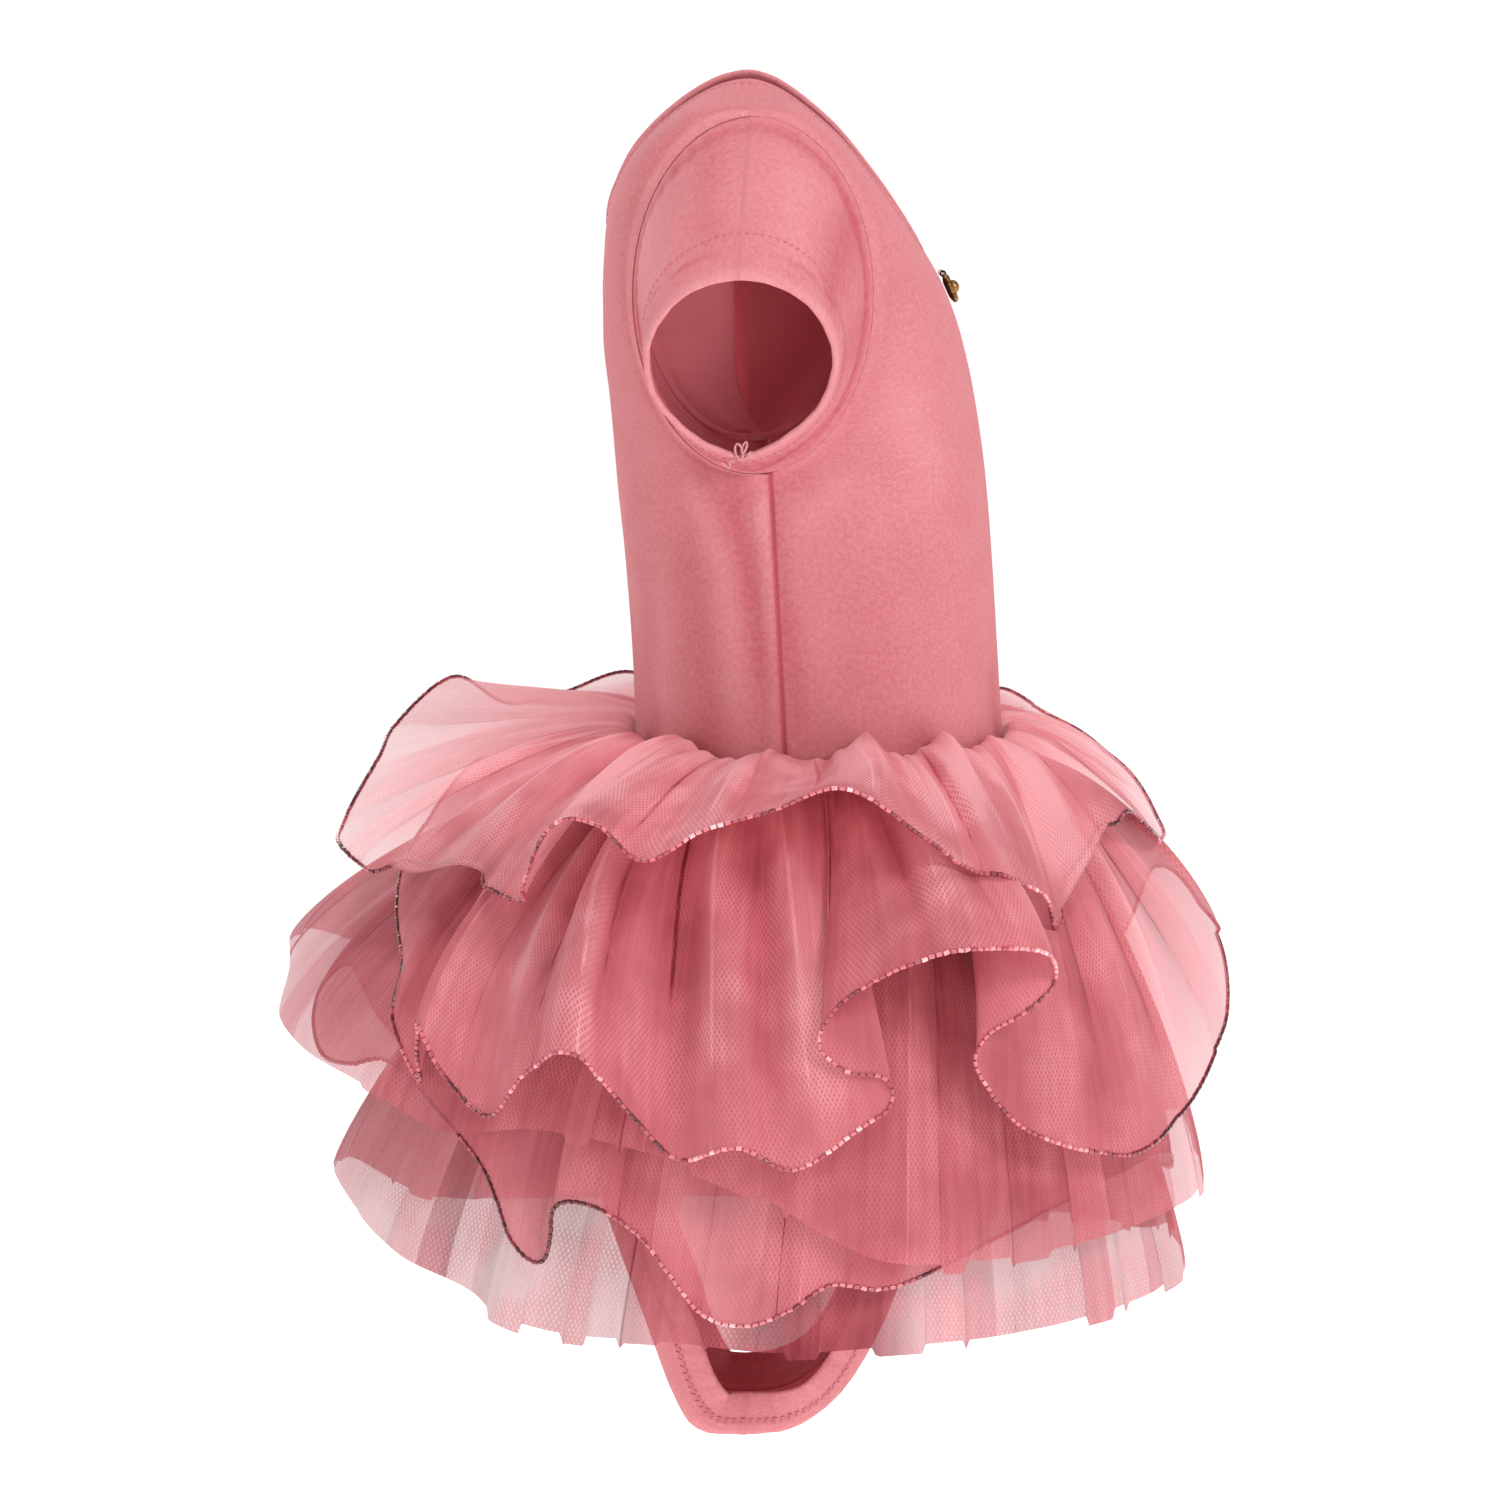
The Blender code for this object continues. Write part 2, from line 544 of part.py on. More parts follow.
def build_tier(index, tier, panels):
    """A wavy ring of tulle from the waist seam to its hem."""
    name, table, bow, late, puff, columns, gather = tier
    turn, hem_reach, hem_drop = hem_line(table, columns).T
    step = np.arange(columns)
    waist_turn = 0.5 * turn + 0.5 * (turn[0] + 2 * np.pi * step / columns)
    stack = index * TIER_PITCH
    start = waist_reach(waist_turn, WAIST_Z - stack, panels) + 2 * SEAM_GAP
    pleat = gather * np.where(step % 2, -1, 1) * (0.75 + 0.25 * np.sin(2.3 * step))
    levels = []
    for part in TIER_LEVELS:
        reach = start + (hem_reach - start) * (1 - (1 - part) ** bow)
        drop = (stack + (hem_drop - stack) * part ** late
                - puff * np.sin(np.pi * part ** 0.7) + pleat * part)
        side = waist_turn + (turn - waist_turn) * part ** 0.8
        levels.append(np.stack([reach * np.sin(side), SKIRT_AXIS_Y - reach * np.cos(side),
                                WAIST_Z - drop], axis=1))
    outer = np.array(levels)
    normal = grid_normals(outer, ring=True)
    if np.mean(normal[:, :, 2]) < 0:
        normal = -normal
    normal[0] = (0, 0, 1)
    obj = add_ring(name, outer, outer - normal * TULLE_WALL)
    paint(obj, name, TULLE_COLOUR, 0.6)


def build_charm(chest):
    """Rosette seated on the chest, turned to the cloth's slope there."""
    line = chest[NECK_ROWS:, 0]
    reach = CHARM_SLOPE_SPAN / 2
    centre_y, upper_y, lower_y = (
        np.interp(-CHARM_Z + d, -line[:, 2], line[:, 1]) for d in (0, -reach, reach))
    along = np.array((0, upper_y - lower_y, CHARM_SLOPE_SPAN))
    along /= np.linalg.norm(along)
    out = np.cross(along, (1.0, 0, 0))
    out *= -np.sign(out[1])
    seat = np.array((0, centre_y, CHARM_Z)) + out * CHARM_SEAT
    angle = np.linspace(0, 2 * np.pi, CHARM_AROUND, endpoint=False)[:, None]
    rings = []
    for height, radius, petal in CHARM_PROFILE:
        around = radius + petal * np.cos(CHARM_PETALS * angle)
        rings.append(seat + out * height
                     + around * (np.cos(angle) * (1.0, 0, 0) + np.sin(angle) * along))
    faces = []
    for ring in range(len(rings) - 1):
        for step in range(CHARM_AROUND):
            a = ring * CHARM_AROUND + step
            b = ring * CHARM_AROUND + (step + 1) % CHARM_AROUND
            faces.append((a, b, b + CHARM_AROUND, a + CHARM_AROUND))
    last = (len(rings) - 1) * CHARM_AROUND
    faces += [tuple(range(CHARM_AROUND)), tuple(range(last, last + CHARM_AROUND))]
    paint(add_mesh("charm", np.concatenate(rings), faces), "charm", BRASS_COLOUR, 0.4, 1.0)


front = build_panel(True)
back = build_panel(False)
for label, (points, normal) in (("front", front), ("back", back)):
    panel = add_panel(label, points, points - normal * JERSEY_WALL)
    paint(panel, label, JERSEY_COLOUR, 0.85)
add_band("neck_band", neck_loop(front, back), NECK_BAND_WIDTH, 0.0, SEAM_GAP)
for label, side, rings in (("left", 1, LEFT_SLEEVE), ("right", -1, RIGHT_SLEEVE)):
    build_sleeve("sleeve_" + label, side, rings)
    add_band("leg_band_" + label, leg_loop(front, back, side), LEG_BAND_WIDTH, -LEG_BAND_PULL,
             2 * SEAM_GAP)
for index, tier in enumerate(TIERS):
    build_tier(index, tier, (front, back))
build_charm(front[0])
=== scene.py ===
import math
import bpy
import bmesh
import numpy as np
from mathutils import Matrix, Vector


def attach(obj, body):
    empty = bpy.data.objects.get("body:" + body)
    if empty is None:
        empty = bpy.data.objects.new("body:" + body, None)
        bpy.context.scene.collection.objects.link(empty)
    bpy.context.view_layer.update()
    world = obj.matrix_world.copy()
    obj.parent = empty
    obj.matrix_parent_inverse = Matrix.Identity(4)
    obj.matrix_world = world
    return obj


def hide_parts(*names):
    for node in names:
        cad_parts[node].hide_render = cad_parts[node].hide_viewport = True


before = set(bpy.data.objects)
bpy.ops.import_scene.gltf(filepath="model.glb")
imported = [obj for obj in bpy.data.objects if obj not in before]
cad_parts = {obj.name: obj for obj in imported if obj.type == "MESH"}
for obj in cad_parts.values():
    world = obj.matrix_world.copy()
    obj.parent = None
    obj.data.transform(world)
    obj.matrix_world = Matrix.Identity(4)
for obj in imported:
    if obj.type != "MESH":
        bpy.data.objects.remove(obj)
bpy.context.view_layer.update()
mm = 0.001
sharpAngle = math.radians(50)     # edges steeper than this stay crisp
print("frame loaded:", ", ".join(sorted(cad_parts)))


# camera, floor and light: everything here is in metres

def toLinear(hexColour):
    # sRGB hex to linear light: c/12.92 in the toe, ((c+0.055)/1.055)^2.4 above it
    parts = [int(hexColour[i:i + 2], 16) / 255 for i in (1, 3, 5)]
    return [c / 12.92 if c <= 0.04045 else ((c + 0.055) / 1.055) ** 2.4 for c in parts] + [1.0]


def addNode(tree, kind, inputs=None, **settings):
    # one node: its settings, then each input by name or number, a socket or a value
    node = tree.nodes.new(kind)
    for name, value in settings.items():
        setattr(node, name, value)
    for key, value in (inputs or {}).items():
        if isinstance(value, bpy.types.NodeSocket):
            tree.links.new(value, node.inputs[key])
        else:
            node.inputs[key].default_value = value
    return node


def newMaterial(name, sockets):
    # constants go on the shader's own sockets, hex colours through toLinear
    material = bpy.data.materials.new(name)
    material.use_nodes = True
    tree = material.node_tree
    shader = tree.nodes["Principled BSDF"]
    for key, value in sockets.items():
        shader.inputs[key].default_value = toLinear(value) if isinstance(value, str) else value
    return material, tree, shader


def setStops(ramp, stops):
    # colours along a ramp, from rows of place and sRGB hex
    for element, (place, colour) in zip(ramp.elements, (stops[0], stops[-1])):
        element.position, element.color = place, toLinear(colour)
    for place, colour in stops[1:-1]:
        ramp.elements.new(place).color = toLinear(colour)


studio = {
    "distance": 2.8,            # camera to the garment
    "downTilt": 6.6,            # degrees the camera looks down
    "pictureWidth": 0.5348,     # width seen at the garment
    "target": (0.0, -0.002476, -0.2407),
    "sensorWidth": 36.0, "farthest": 200.0,
    "room": "#FFFDFB",
    "horizon": 0.95, "zenith": 0.22,     # room brightness round the horizon and overhead
    "dimFrom": 0.12, "dimTo": 0.5,       # heights of the view line, between which it falls
    "floorZ": -0.78,
    "floorSize": 90.0,
    "floor": {"Base Color": "#F6F5F4", "Roughness": 0.9, "Emission Color": "#FFFFFF",
              "Emission Strength": 0.76},
    # name, place, aimed at, size, watts
    "lamps": [
        ("keySoftbox", (-2.1, -1.9, 1.6), (0.0, -0.02, -0.2), 1.2, 46.0),
        ("fillSoftbox", (-1.7, 2.2, 0.3), (0.0, 0.0, -0.28), 1.6, 4.0),
        ("topSoftbox", (-0.2, 0.2, 2.3), (0.0, 0.0, -0.2), 1.3, 34.0),
        ("farSoftbox", (2.4, 0.6, 0.9), (0.0, 0.0, -0.25), 1.4, 12.0),
    ],
}


def aim(obj, place, at):
    # stands at place and looks along its own -Z at the target
    obj.location = place
    obj.rotation_euler = (Vector(at) - Vector(place)).to_track_quat("-Z", "Y").to_euler()
    bpy.context.scene.collection.objects.link(obj)


def makeCamera():
    # focal length = sensor * distance / width of the picture there
    tilt = math.radians(studio["downTilt"])
    target = Vector(studio["target"])
    lens = bpy.data.cameras.new("camera")
    lens.sensor_width = studio["sensorWidth"]
    lens.lens = studio["sensorWidth"] * studio["distance"] / studio["pictureWidth"]
    lens.clip_end = studio["farthest"]
    camera = bpy.data.objects.new("camera", lens)
    aim(camera, target + Vector((-math.cos(tilt), 0, math.sin(tilt))) * studio["distance"], target)
    bpy.context.scene.camera = camera


def makeLamps():
    # soft round lamps, each aimed at its own part of the garment
    for name, place, at, size, watts in studio["lamps"]:
        lamp = bpy.data.lights.new(name, "AREA")
        lamp.shape, lamp.size, lamp.energy = "DISK", size, watts
        aim(bpy.data.objects.new(name, lamp), place, at)


def makeRoom():
    # a white room that is dimmer overhead: brightness falls from the horizon to the zenith
    world = bpy.data.worlds.new("paleRoom")
    world.use_nodes = True
    tree = world.node_tree
    sky = tree.nodes["Background"]
    sky.inputs["Color"].default_value = toLinear(studio["room"])
    ray = addNode(tree, "ShaderNodeTexCoord").outputs["Generated"]
    height = addNode(tree, "ShaderNodeSeparateXYZ", {0: ray}).outputs["Z"]
    glow = addNode(tree, "ShaderNodeMapRange", {
        "Value": height, "From Min": studio["dimFrom"], "From Max": studio["dimTo"],
        "To Min": studio["horizon"], "To Max": studio["zenith"]})
    tree.links.new(glow.outputs[0], sky.inputs["Strength"])
    bpy.context.scene.world = world


def makeFloor():
    # matt white studio vinyl, a little self lit so that it stays white far behind
    half = studio["floorSize"] / 2
    corners = [(-half, -half), (half, -half), (half, half), (-half, half)]
    sheet = bpy.data.meshes.new("floor")
    sheet.from_pydata([(x, y, studio["floorZ"]) for x, y in corners], [], [(0, 1, 2, 3)])
    floor = bpy.data.objects.new("floor", sheet)
    bpy.context.scene.collection.objects.link(floor)
    sheet.materials.append(newMaterial("studioVinyl", studio["floor"])[0])


bpy.context.scene.view_settings.view_transform = "Standard"
makeCamera()
makeLamps()
makeRoom()
makeFloor()
print("studio ready")


# curves and grids, in millimetres until putMesh

def throughTable(table, column, at):
    # monotone cubic through one column of a table whose first column falls: the tangent
    # at each row is the harmonic mean of the slopes beside it, and zero at a turning point
    rows = np.array(table, float)
    keys, values = -rows[:, 0], rows[:, column]
    step = np.diff(keys)
    slope = np.diff(values) / step
    before, after = slope[:-1], slope[1:]
    rising = before * after > 0
    tangent = np.zeros(len(keys))
    tangent[1:-1] = np.where(rising, 2 * before * after / np.where(rising, before + after, 1), 0)
    tangent[0], tangent[-1] = slope[0], slope[-1]
    where = np.clip(-np.asarray(at, float), keys[0], keys[-1])
    index = np.clip(np.searchsorted(keys, where, side="right") - 1, 0, len(step) - 1)
    width = step[index]
    part = (where - keys[index]) / width
    return (values[index] * (1 + 2 * part) * (1 - part) ** 2
            + tangent[index] * width * part * (1 - part) ** 2
            + values[index + 1] * part ** 2 * (3 - 2 * part)
            - tangent[index + 1] * width * part ** 2 * (1 - part))


def spline(points, perSpan):
    # Catmull-Rom curve through rows of numbers, perSpan steps from each row to the next
    first, last = 2 * points[0] - points[1], 2 * points[-1] - points[-2]
    padded = np.concatenate([[first], points, [last]])
    part = np.linspace(0, 1, perSpan, endpoint=False)[None, :, None]
    before, start, end, after = (padded[i:len(padded) - 3 + i, None] for i in range(4))
    curve = 0.5 * (2 * start + (end - before) * part
                   + (2 * before - 5 * start + 4 * end - after) * part ** 2
                   + (3 * start - before - 3 * end + after) * part ** 3)
    return np.concatenate([curve.reshape(-1, points.shape[1]), points[-1:]])


def lengthAlong(track):
    # running sum of the distances from each point to the next
    return np.concatenate([[0], np.cumsum(np.linalg.norm(np.diff(track, axis=0), axis=1))])


def evenSteps(values, track, count):
    # rows of values at even steps of length along track
    length = lengthAlong(track)
    places = np.linspace(0, length[-1], count)
    return np.stack([np.interp(places, length, column) for column in values.T], axis=1)


def smoothStep(low, high, x):
    # 3 p^2 - 2 p^3, where p runs from 0 at low to 1 at high
    part = np.clip((x - low) / (high - low), 0, 1)
    return part * part * (3 - 2 * part)


def unit(vectors):
    # each vector over its own length
    return vectors / np.maximum(np.linalg.norm(vectors, axis=-1, keepdims=True), 1e-9)


def turnApart(turn, place):
    # degrees from a place round to a turn, from -180 to 180
    return (turn - place + 180) % 360 - 180


def gridNormals(grid, ring=False):
    # cross product of the two directions of the grid
    down = np.gradient(grid, axis=0)
    if ring:
        across = np.roll(grid, -1, axis=1) - np.roll(grid, 1, axis=1)
    else:
        across = np.gradient(grid, axis=1)
    return unit(np.cross(down, across))


def gridFaces(rows, columns, ringColumns, ringRows=False):
    # four corners of every cell, counted along the rows
    row = np.arange(rows if ringRows else rows - 1)[:, None]
    column = np.arange(columns if ringColumns else columns - 1)[None, :]
    nextRow, nextColumn = (row + 1) % rows, (column + 1) % columns
    corners = [row * columns + column, row * columns + nextColumn,
               nextRow * columns + nextColumn, nextRow * columns + column]
    return np.stack([c + 0 * (row + column) for c in corners], axis=-1).reshape(-1, 4)


def newPiece(name, points, faces, values):
    # a smooth mesh; points in millimetres, values are point attributes that the materials read
    mesh = bpy.data.meshes.new(name)
    mesh.from_pydata((points.reshape(-1, 3) * mm).tolist(), [], faces)
    for key, array in values.items():
        kind, field = ("FLOAT_VECTOR", "vector") if array.ndim > 1 else ("FLOAT", "value")
        layer = mesh.attributes.new(key, kind, "POINT")
        layer.data.foreach_set(field, np.ascontiguousarray(array, dtype=np.float32).ravel())
    mesh.shade_smooth()
    obj = bpy.data.objects.new(name, mesh)
    bpy.context.scene.collection.objects.link(obj)
    return obj


def putMesh(name, points, faces, values, weld=False, closed=True):
    # a piece from a grid: welded along its middle line, or its faces turned outwards
    obj = newPiece(name, points, faces.tolist(), values)
    form = bmesh.new()
    form.from_mesh(obj.data)
    if weld:
        middle = [v for v in form.verts if abs(v.co.x) < 1e-7]
        bmesh.ops.remove_doubles(form, verts=middle, dist=1e-6)
    if closed:
        bmesh.ops.recalc_face_normals(form, faces=form.faces)
    form.to_mesh(obj.data)
    form.free()
    return obj


def finishPiece(obj, material, node=None):
    # gives a piece its material and body, and hides the solid that it takes the place of
    obj.data.materials.append(material)
    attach(obj, "root")
    if node:
        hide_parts(node)
    return obj


# materials

jerseyLook = {
    "stops": [(0.12, "#B9575F"), (0.78, "#DB9196")],     # from the painted shade of a deep crease to the painted light of a lit rise
    "inside": "#D9757E",
    "wale": 1.5,            # the real wales are 0.7 mm apart, drawn wider so that they show
    "course": 1.2,          # height of a row of loops, drawn too tall for the same reason
    "cloud": 22.0,          # size of the soft unevenness of the dye
    "fleckScale": 0.6,      # of the heather
    # creaseShadingShare: how strongly the crease's height is painted in as shade and light
    "base": 0.13, "creaseShadingShare": 0.26, "cloudTone": 0.22, "fleckTone": 0.5, "knitTone": 0.04,
    "bump": 0.00012, "bumpStrength": 0.4,
    "sockets": {"Roughness": 0.86, "Specular IOR Level": 0.2, "Sheen Weight": 0.18,
                "Sheen Roughness": 0.45, "Sheen Tint": "#F4B9BE"},
}


def makeJersey(name, look):
    # combed cotton and elastane jersey, garment dyed: a matt knit with fine upright wales,
    # a faint heather, painted shade in the creases and painted light on the rises, and a nap that lightens
    # its outline
    material, tree, shader = newMaterial(name, look["sockets"])
    place = addNode(tree, "ShaderNodeAttribute", attribute_name="cloth").outputs["Vector"]
    creaseShading, inside = (addNode(tree, "ShaderNodeAttribute", attribute_name=key).outputs["Fac"]
                      for key in ("creaseShading", "inside"))
    axes = addNode(tree, "ShaderNodeSeparateXYZ", {0: place})
    waves = []
    for axis, apart in (("X", look["wale"]), ("Y", look["course"])):
        wave = addNode(tree, "ShaderNodeMath", {0: axes.outputs[axis], 1: 2 * math.pi / apart},
                       operation="MULTIPLY")
        waves.append(addNode(tree, "ShaderNodeMath", {0: wave.outputs[0]}, operation="SINE"))
    knit = addNode(tree, "ShaderNodeMath", {0: waves[0].outputs[0], 1: waves[1].outputs[0]},
                   operation="MULTIPLY")
    cloud = addNode(tree, "ShaderNodeTexNoise",
                    {"Vector": place, "Scale": 1 / look["cloud"], "Detail": 3.0, "Roughness": 0.55})
    fleck = addNode(tree, "ShaderNodeTexNoise", {"Vector": place, "Scale": look["fleckScale"], "Detail": 3.0})
    # tone = base + the crease's height as painted shade and light, and each pattern times its share
    tone = addNode(tree, "ShaderNodeMath", {0: creaseShading, 1: look["creaseShadingShare"], 2: look["base"]},
                   operation="MULTIPLY_ADD")
    for pattern, share in ((cloud.outputs["Fac"], "cloudTone"), (fleck.outputs["Fac"], "fleckTone"),
                           (knit.outputs[0], "knitTone")):
        tone = addNode(tree, "ShaderNodeMath", {0: pattern, 1: look[share], 2: tone.outputs[0]},
                       operation="MULTIPLY_ADD")
    ramp = addNode(tree, "ShaderNodeValToRGB", {"Fac": tone.outputs[0]})
    setStops(ramp.color_ramp, look["stops"])
    mix = addNode(tree, "ShaderNodeMix", {"Factor": inside, 6: ramp.outputs["Color"],
                                          7: toLinear(look["inside"])}, data_type="RGBA")
    tree.links.new(mix.outputs[2], shader.inputs["Base Color"])
    relief = addNode(tree, "ShaderNodeMath", {0: fleck.outputs["Fac"], 1: 0.8, 2: knit.outputs[0]},
                     operation="MULTIPLY_ADD")
    bump = addNode(tree, "ShaderNodeBump", {"Height": relief.outputs[0], "Distance": look["bump"],
                                            "Strength": look["bumpStrength"]})
    tree.links.new(bump.outputs["Normal"], shader.inputs["Normal"])
    return material


jersey = makeJersey("cottonJersey", jerseyLook)

# what both tulles share; sizes are in mm of cloth
tulleNet = {
    "cell": 1.9,                        # the real cell is 1.1 mm, drawn wider so that it shows
    "slant": 0.62, "threadPower": 4.0,  # lean of the net's threads, and how thin they are
    "netDepth": 0.6,                    # how far the threads cover more than the holes
    "shownBetween": (0.4, 0.62), "leastShown": 0.25,    # the net shows in some places more
    "cloudScale": 0.035, "cloudTone": 0.34,
    "drape": (0.3, 0.025, 0.0),         # drape lines are noise, drawn out twelve times
    "oneLayer": 0.45,                   # what one layer of net covers
    "toneScale": 0.8,
    "sockets": {"Roughness": 0.72, "Specular IOR Level": 0.25, "Sheen Weight": 0.15,
                "Sheen Roughness": 0.4, "Sheen Tint": "#FFD9DC"},
}
# stops run from the painted shade of the deepest fold to the painted highlight of the brightest crest;
# bare is the share of half pleats with no more layers, and unlined the share of fold lines that aren't there
wavyTulleLook = {
    **tulleNet,
    "stops": [(0.1, "#7E1F2C"), (0.46, "#C8636D"), (0.8, "#E1858D"), (1.0, "#F0A5AB")],
    "netTone": 0.23, "streak": 0.42, "bare": 0.35, "stripLayers": 0.9, "stripTone": 0.44,
    "unlined": 0.15, "line": 1.15, "lineLayers": 0.8, "crestHighlight": 0.34, "valleyShade": 0.75,
}
plainTulleLook = {
    **tulleNet,
    "stops": [(0.1, "#7E1F2C"), (0.46, "#BE5C66"), (0.8, "#DE8188"), (1.0, "#EFA6AB")],
    "netTone": 0.18, "streak": 0.5, "bare": 0.4, "stripLayers": 1.9, "stripTone": 0.34,
    "unlined": 0.25, "line": 1.0, "lineLayers": 1.4, "crestHighlight": 0.22, "valleyShade": 0.6,
}


def addNet(tree, axes, cloud, look):
    # two sets of slanting threads, |cos(pi * (x +- slant * y) / cell)| to a power, which show
    # in some places more than in others
    slant = []
    for sign in (1, -1):
        part = addNode(tree, "ShaderNodeMath", {0: axes.outputs["Y"], 1: sign * look["slant"]},
                       operation="MULTIPLY")
        part = addNode(tree, "ShaderNodeMath", {0: axes.outputs["X"], 1: part.outputs[0]}, operation="ADD")
        part = addNode(tree, "ShaderNodeMath", {0: part.outputs[0], 1: math.pi / look["cell"]},
                       operation="MULTIPLY")
        part = addNode(tree, "ShaderNodeMath", {0: part.outputs[0]}, operation="COSINE")
        slant.append(addNode(tree, "ShaderNodeMath", {0: part.outputs[0]}, operation="ABSOLUTE"))
    net = addNode(tree, "ShaderNodeMath", {0: slant[0].outputs[0], 1: slant[1].outputs[0]},
                  operation="MAXIMUM")
    net = addNode(tree, "ShaderNodeMath", {0: net.outputs[0], 1: look["threadPower"]}, operation="POWER")
    shown = addNode(tree, "ShaderNodeMapRange", {
        "Value": cloud.outputs["Fac"], "From Min": look["shownBetween"][0],
        "From Max": look["shownBetween"][1], "To Min": look["leastShown"], "To Max": 1.0})
    return addNode(tree, "ShaderNodeMath", {0: net.outputs[0], 1: shown.outputs[0]}, operation="MULTIPLY")


def addStrips(tree, axes, pleated, look):
    # half pleats: each whole number of 2 * pleat draws its own tone and its own layers
    half = addNode(tree, "ShaderNodeMath", {0: axes.outputs["Z"], 1: 2.0}, operation="MULTIPLY")
    half = addNode(tree, "ShaderNodeMath", {0: half.outputs[0]}, operation="FLOOR")
    pick = addNode(tree, "ShaderNodeTexWhiteNoise", {"W": half.outputs[0]}, noise_dimensions="1D")
    strip = addNode(tree, "ShaderNodeSeparateColor", {0: pick.outputs["Color"]}).outputs[1]
    strip = addNode(tree, "ShaderNodeMath", {0: strip, 1: 0.5}, operation="SUBTRACT")
    strip = addNode(tree, "ShaderNodeMath", {0: strip.outputs[0], 1: pleated}, operation="MULTIPLY")
    extra = addNode(tree, "ShaderNodeMapRange", {
        "Value": pick.outputs["Value"], "From Min": look["bare"], "From Max": 1.0,
        "To Min": 0.0, "To Max": look["stripLayers"]})
    extra = addNode(tree, "ShaderNodeMath", {0: extra.outputs[0], 1: pleated}, operation="MULTIPLY")
    return strip, extra


def addFoldLines(tree, axes, edge, look):
    # a painted highlight where a pleat crests, painted shade where it turns under, some strong,
    # some not there at all; each draws its force by its number, and a crest's number is 200 more
    within = addNode(tree, "ShaderNodeMath", {0: axes.outputs["Z"]}, operation="FRACT")
    crest = addNode(tree, "ShaderNodeMath", {0: within.outputs[0], 1: 0.5, 2: 0.25}, operation="COMPARE")
    order = addNode(tree, "ShaderNodeMath", {0: crest.outputs[0], 1: -0.5, 2: 0.5}, operation="MULTIPLY_ADD")
    order = addNode(tree, "ShaderNodeMath", {0: axes.outputs["Z"], 1: order.outputs[0]}, operation="ADD")
    order = addNode(tree, "ShaderNodeMath", {0: order.outputs[0]}, operation="FLOOR")
    order = addNode(tree, "ShaderNodeMath", {0: crest.outputs[0], 1: 200.0, 2: order.outputs[0]},
                    operation="MULTIPLY_ADD")
    force = addNode(tree, "ShaderNodeTexWhiteNoise", {"W": order.outputs[0]}, noise_dimensions="1D")
    force = addNode(tree, "ShaderNodeMapRange", {
        "Value": force.outputs["Value"], "From Min": look["unlined"], "From Max": 1.0,
        "To Min": 0.0, "To Max": 1.0})
    line = addNode(tree, "ShaderNodeMapRange", {
        "Value": edge, "From Min": 0.0, "From Max": look["line"], "To Min": 1.0, "To Max": 0.0},
        interpolation_type="SMOOTHSTEP")
    line = addNode(tree, "ShaderNodeMath", {0: line.outputs[0], 1: force.outputs[0]}, operation="MULTIPLY")
    # painted highlight on a crest line, painted shade on a valley line
    foldLineShading = addNode(tree, "ShaderNodeMath", {
        0: crest.outputs[0], 1: look["crestHighlight"] + look["valleyShade"], 2: -look["valleyShade"]},
        operation="MULTIPLY_ADD")
    foldLineShading = addNode(tree, "ShaderNodeMath", {0: foldLineShading.outputs[0], 1: line.outputs[0]},
                       operation="MULTIPLY")
    return line, foldLineShading


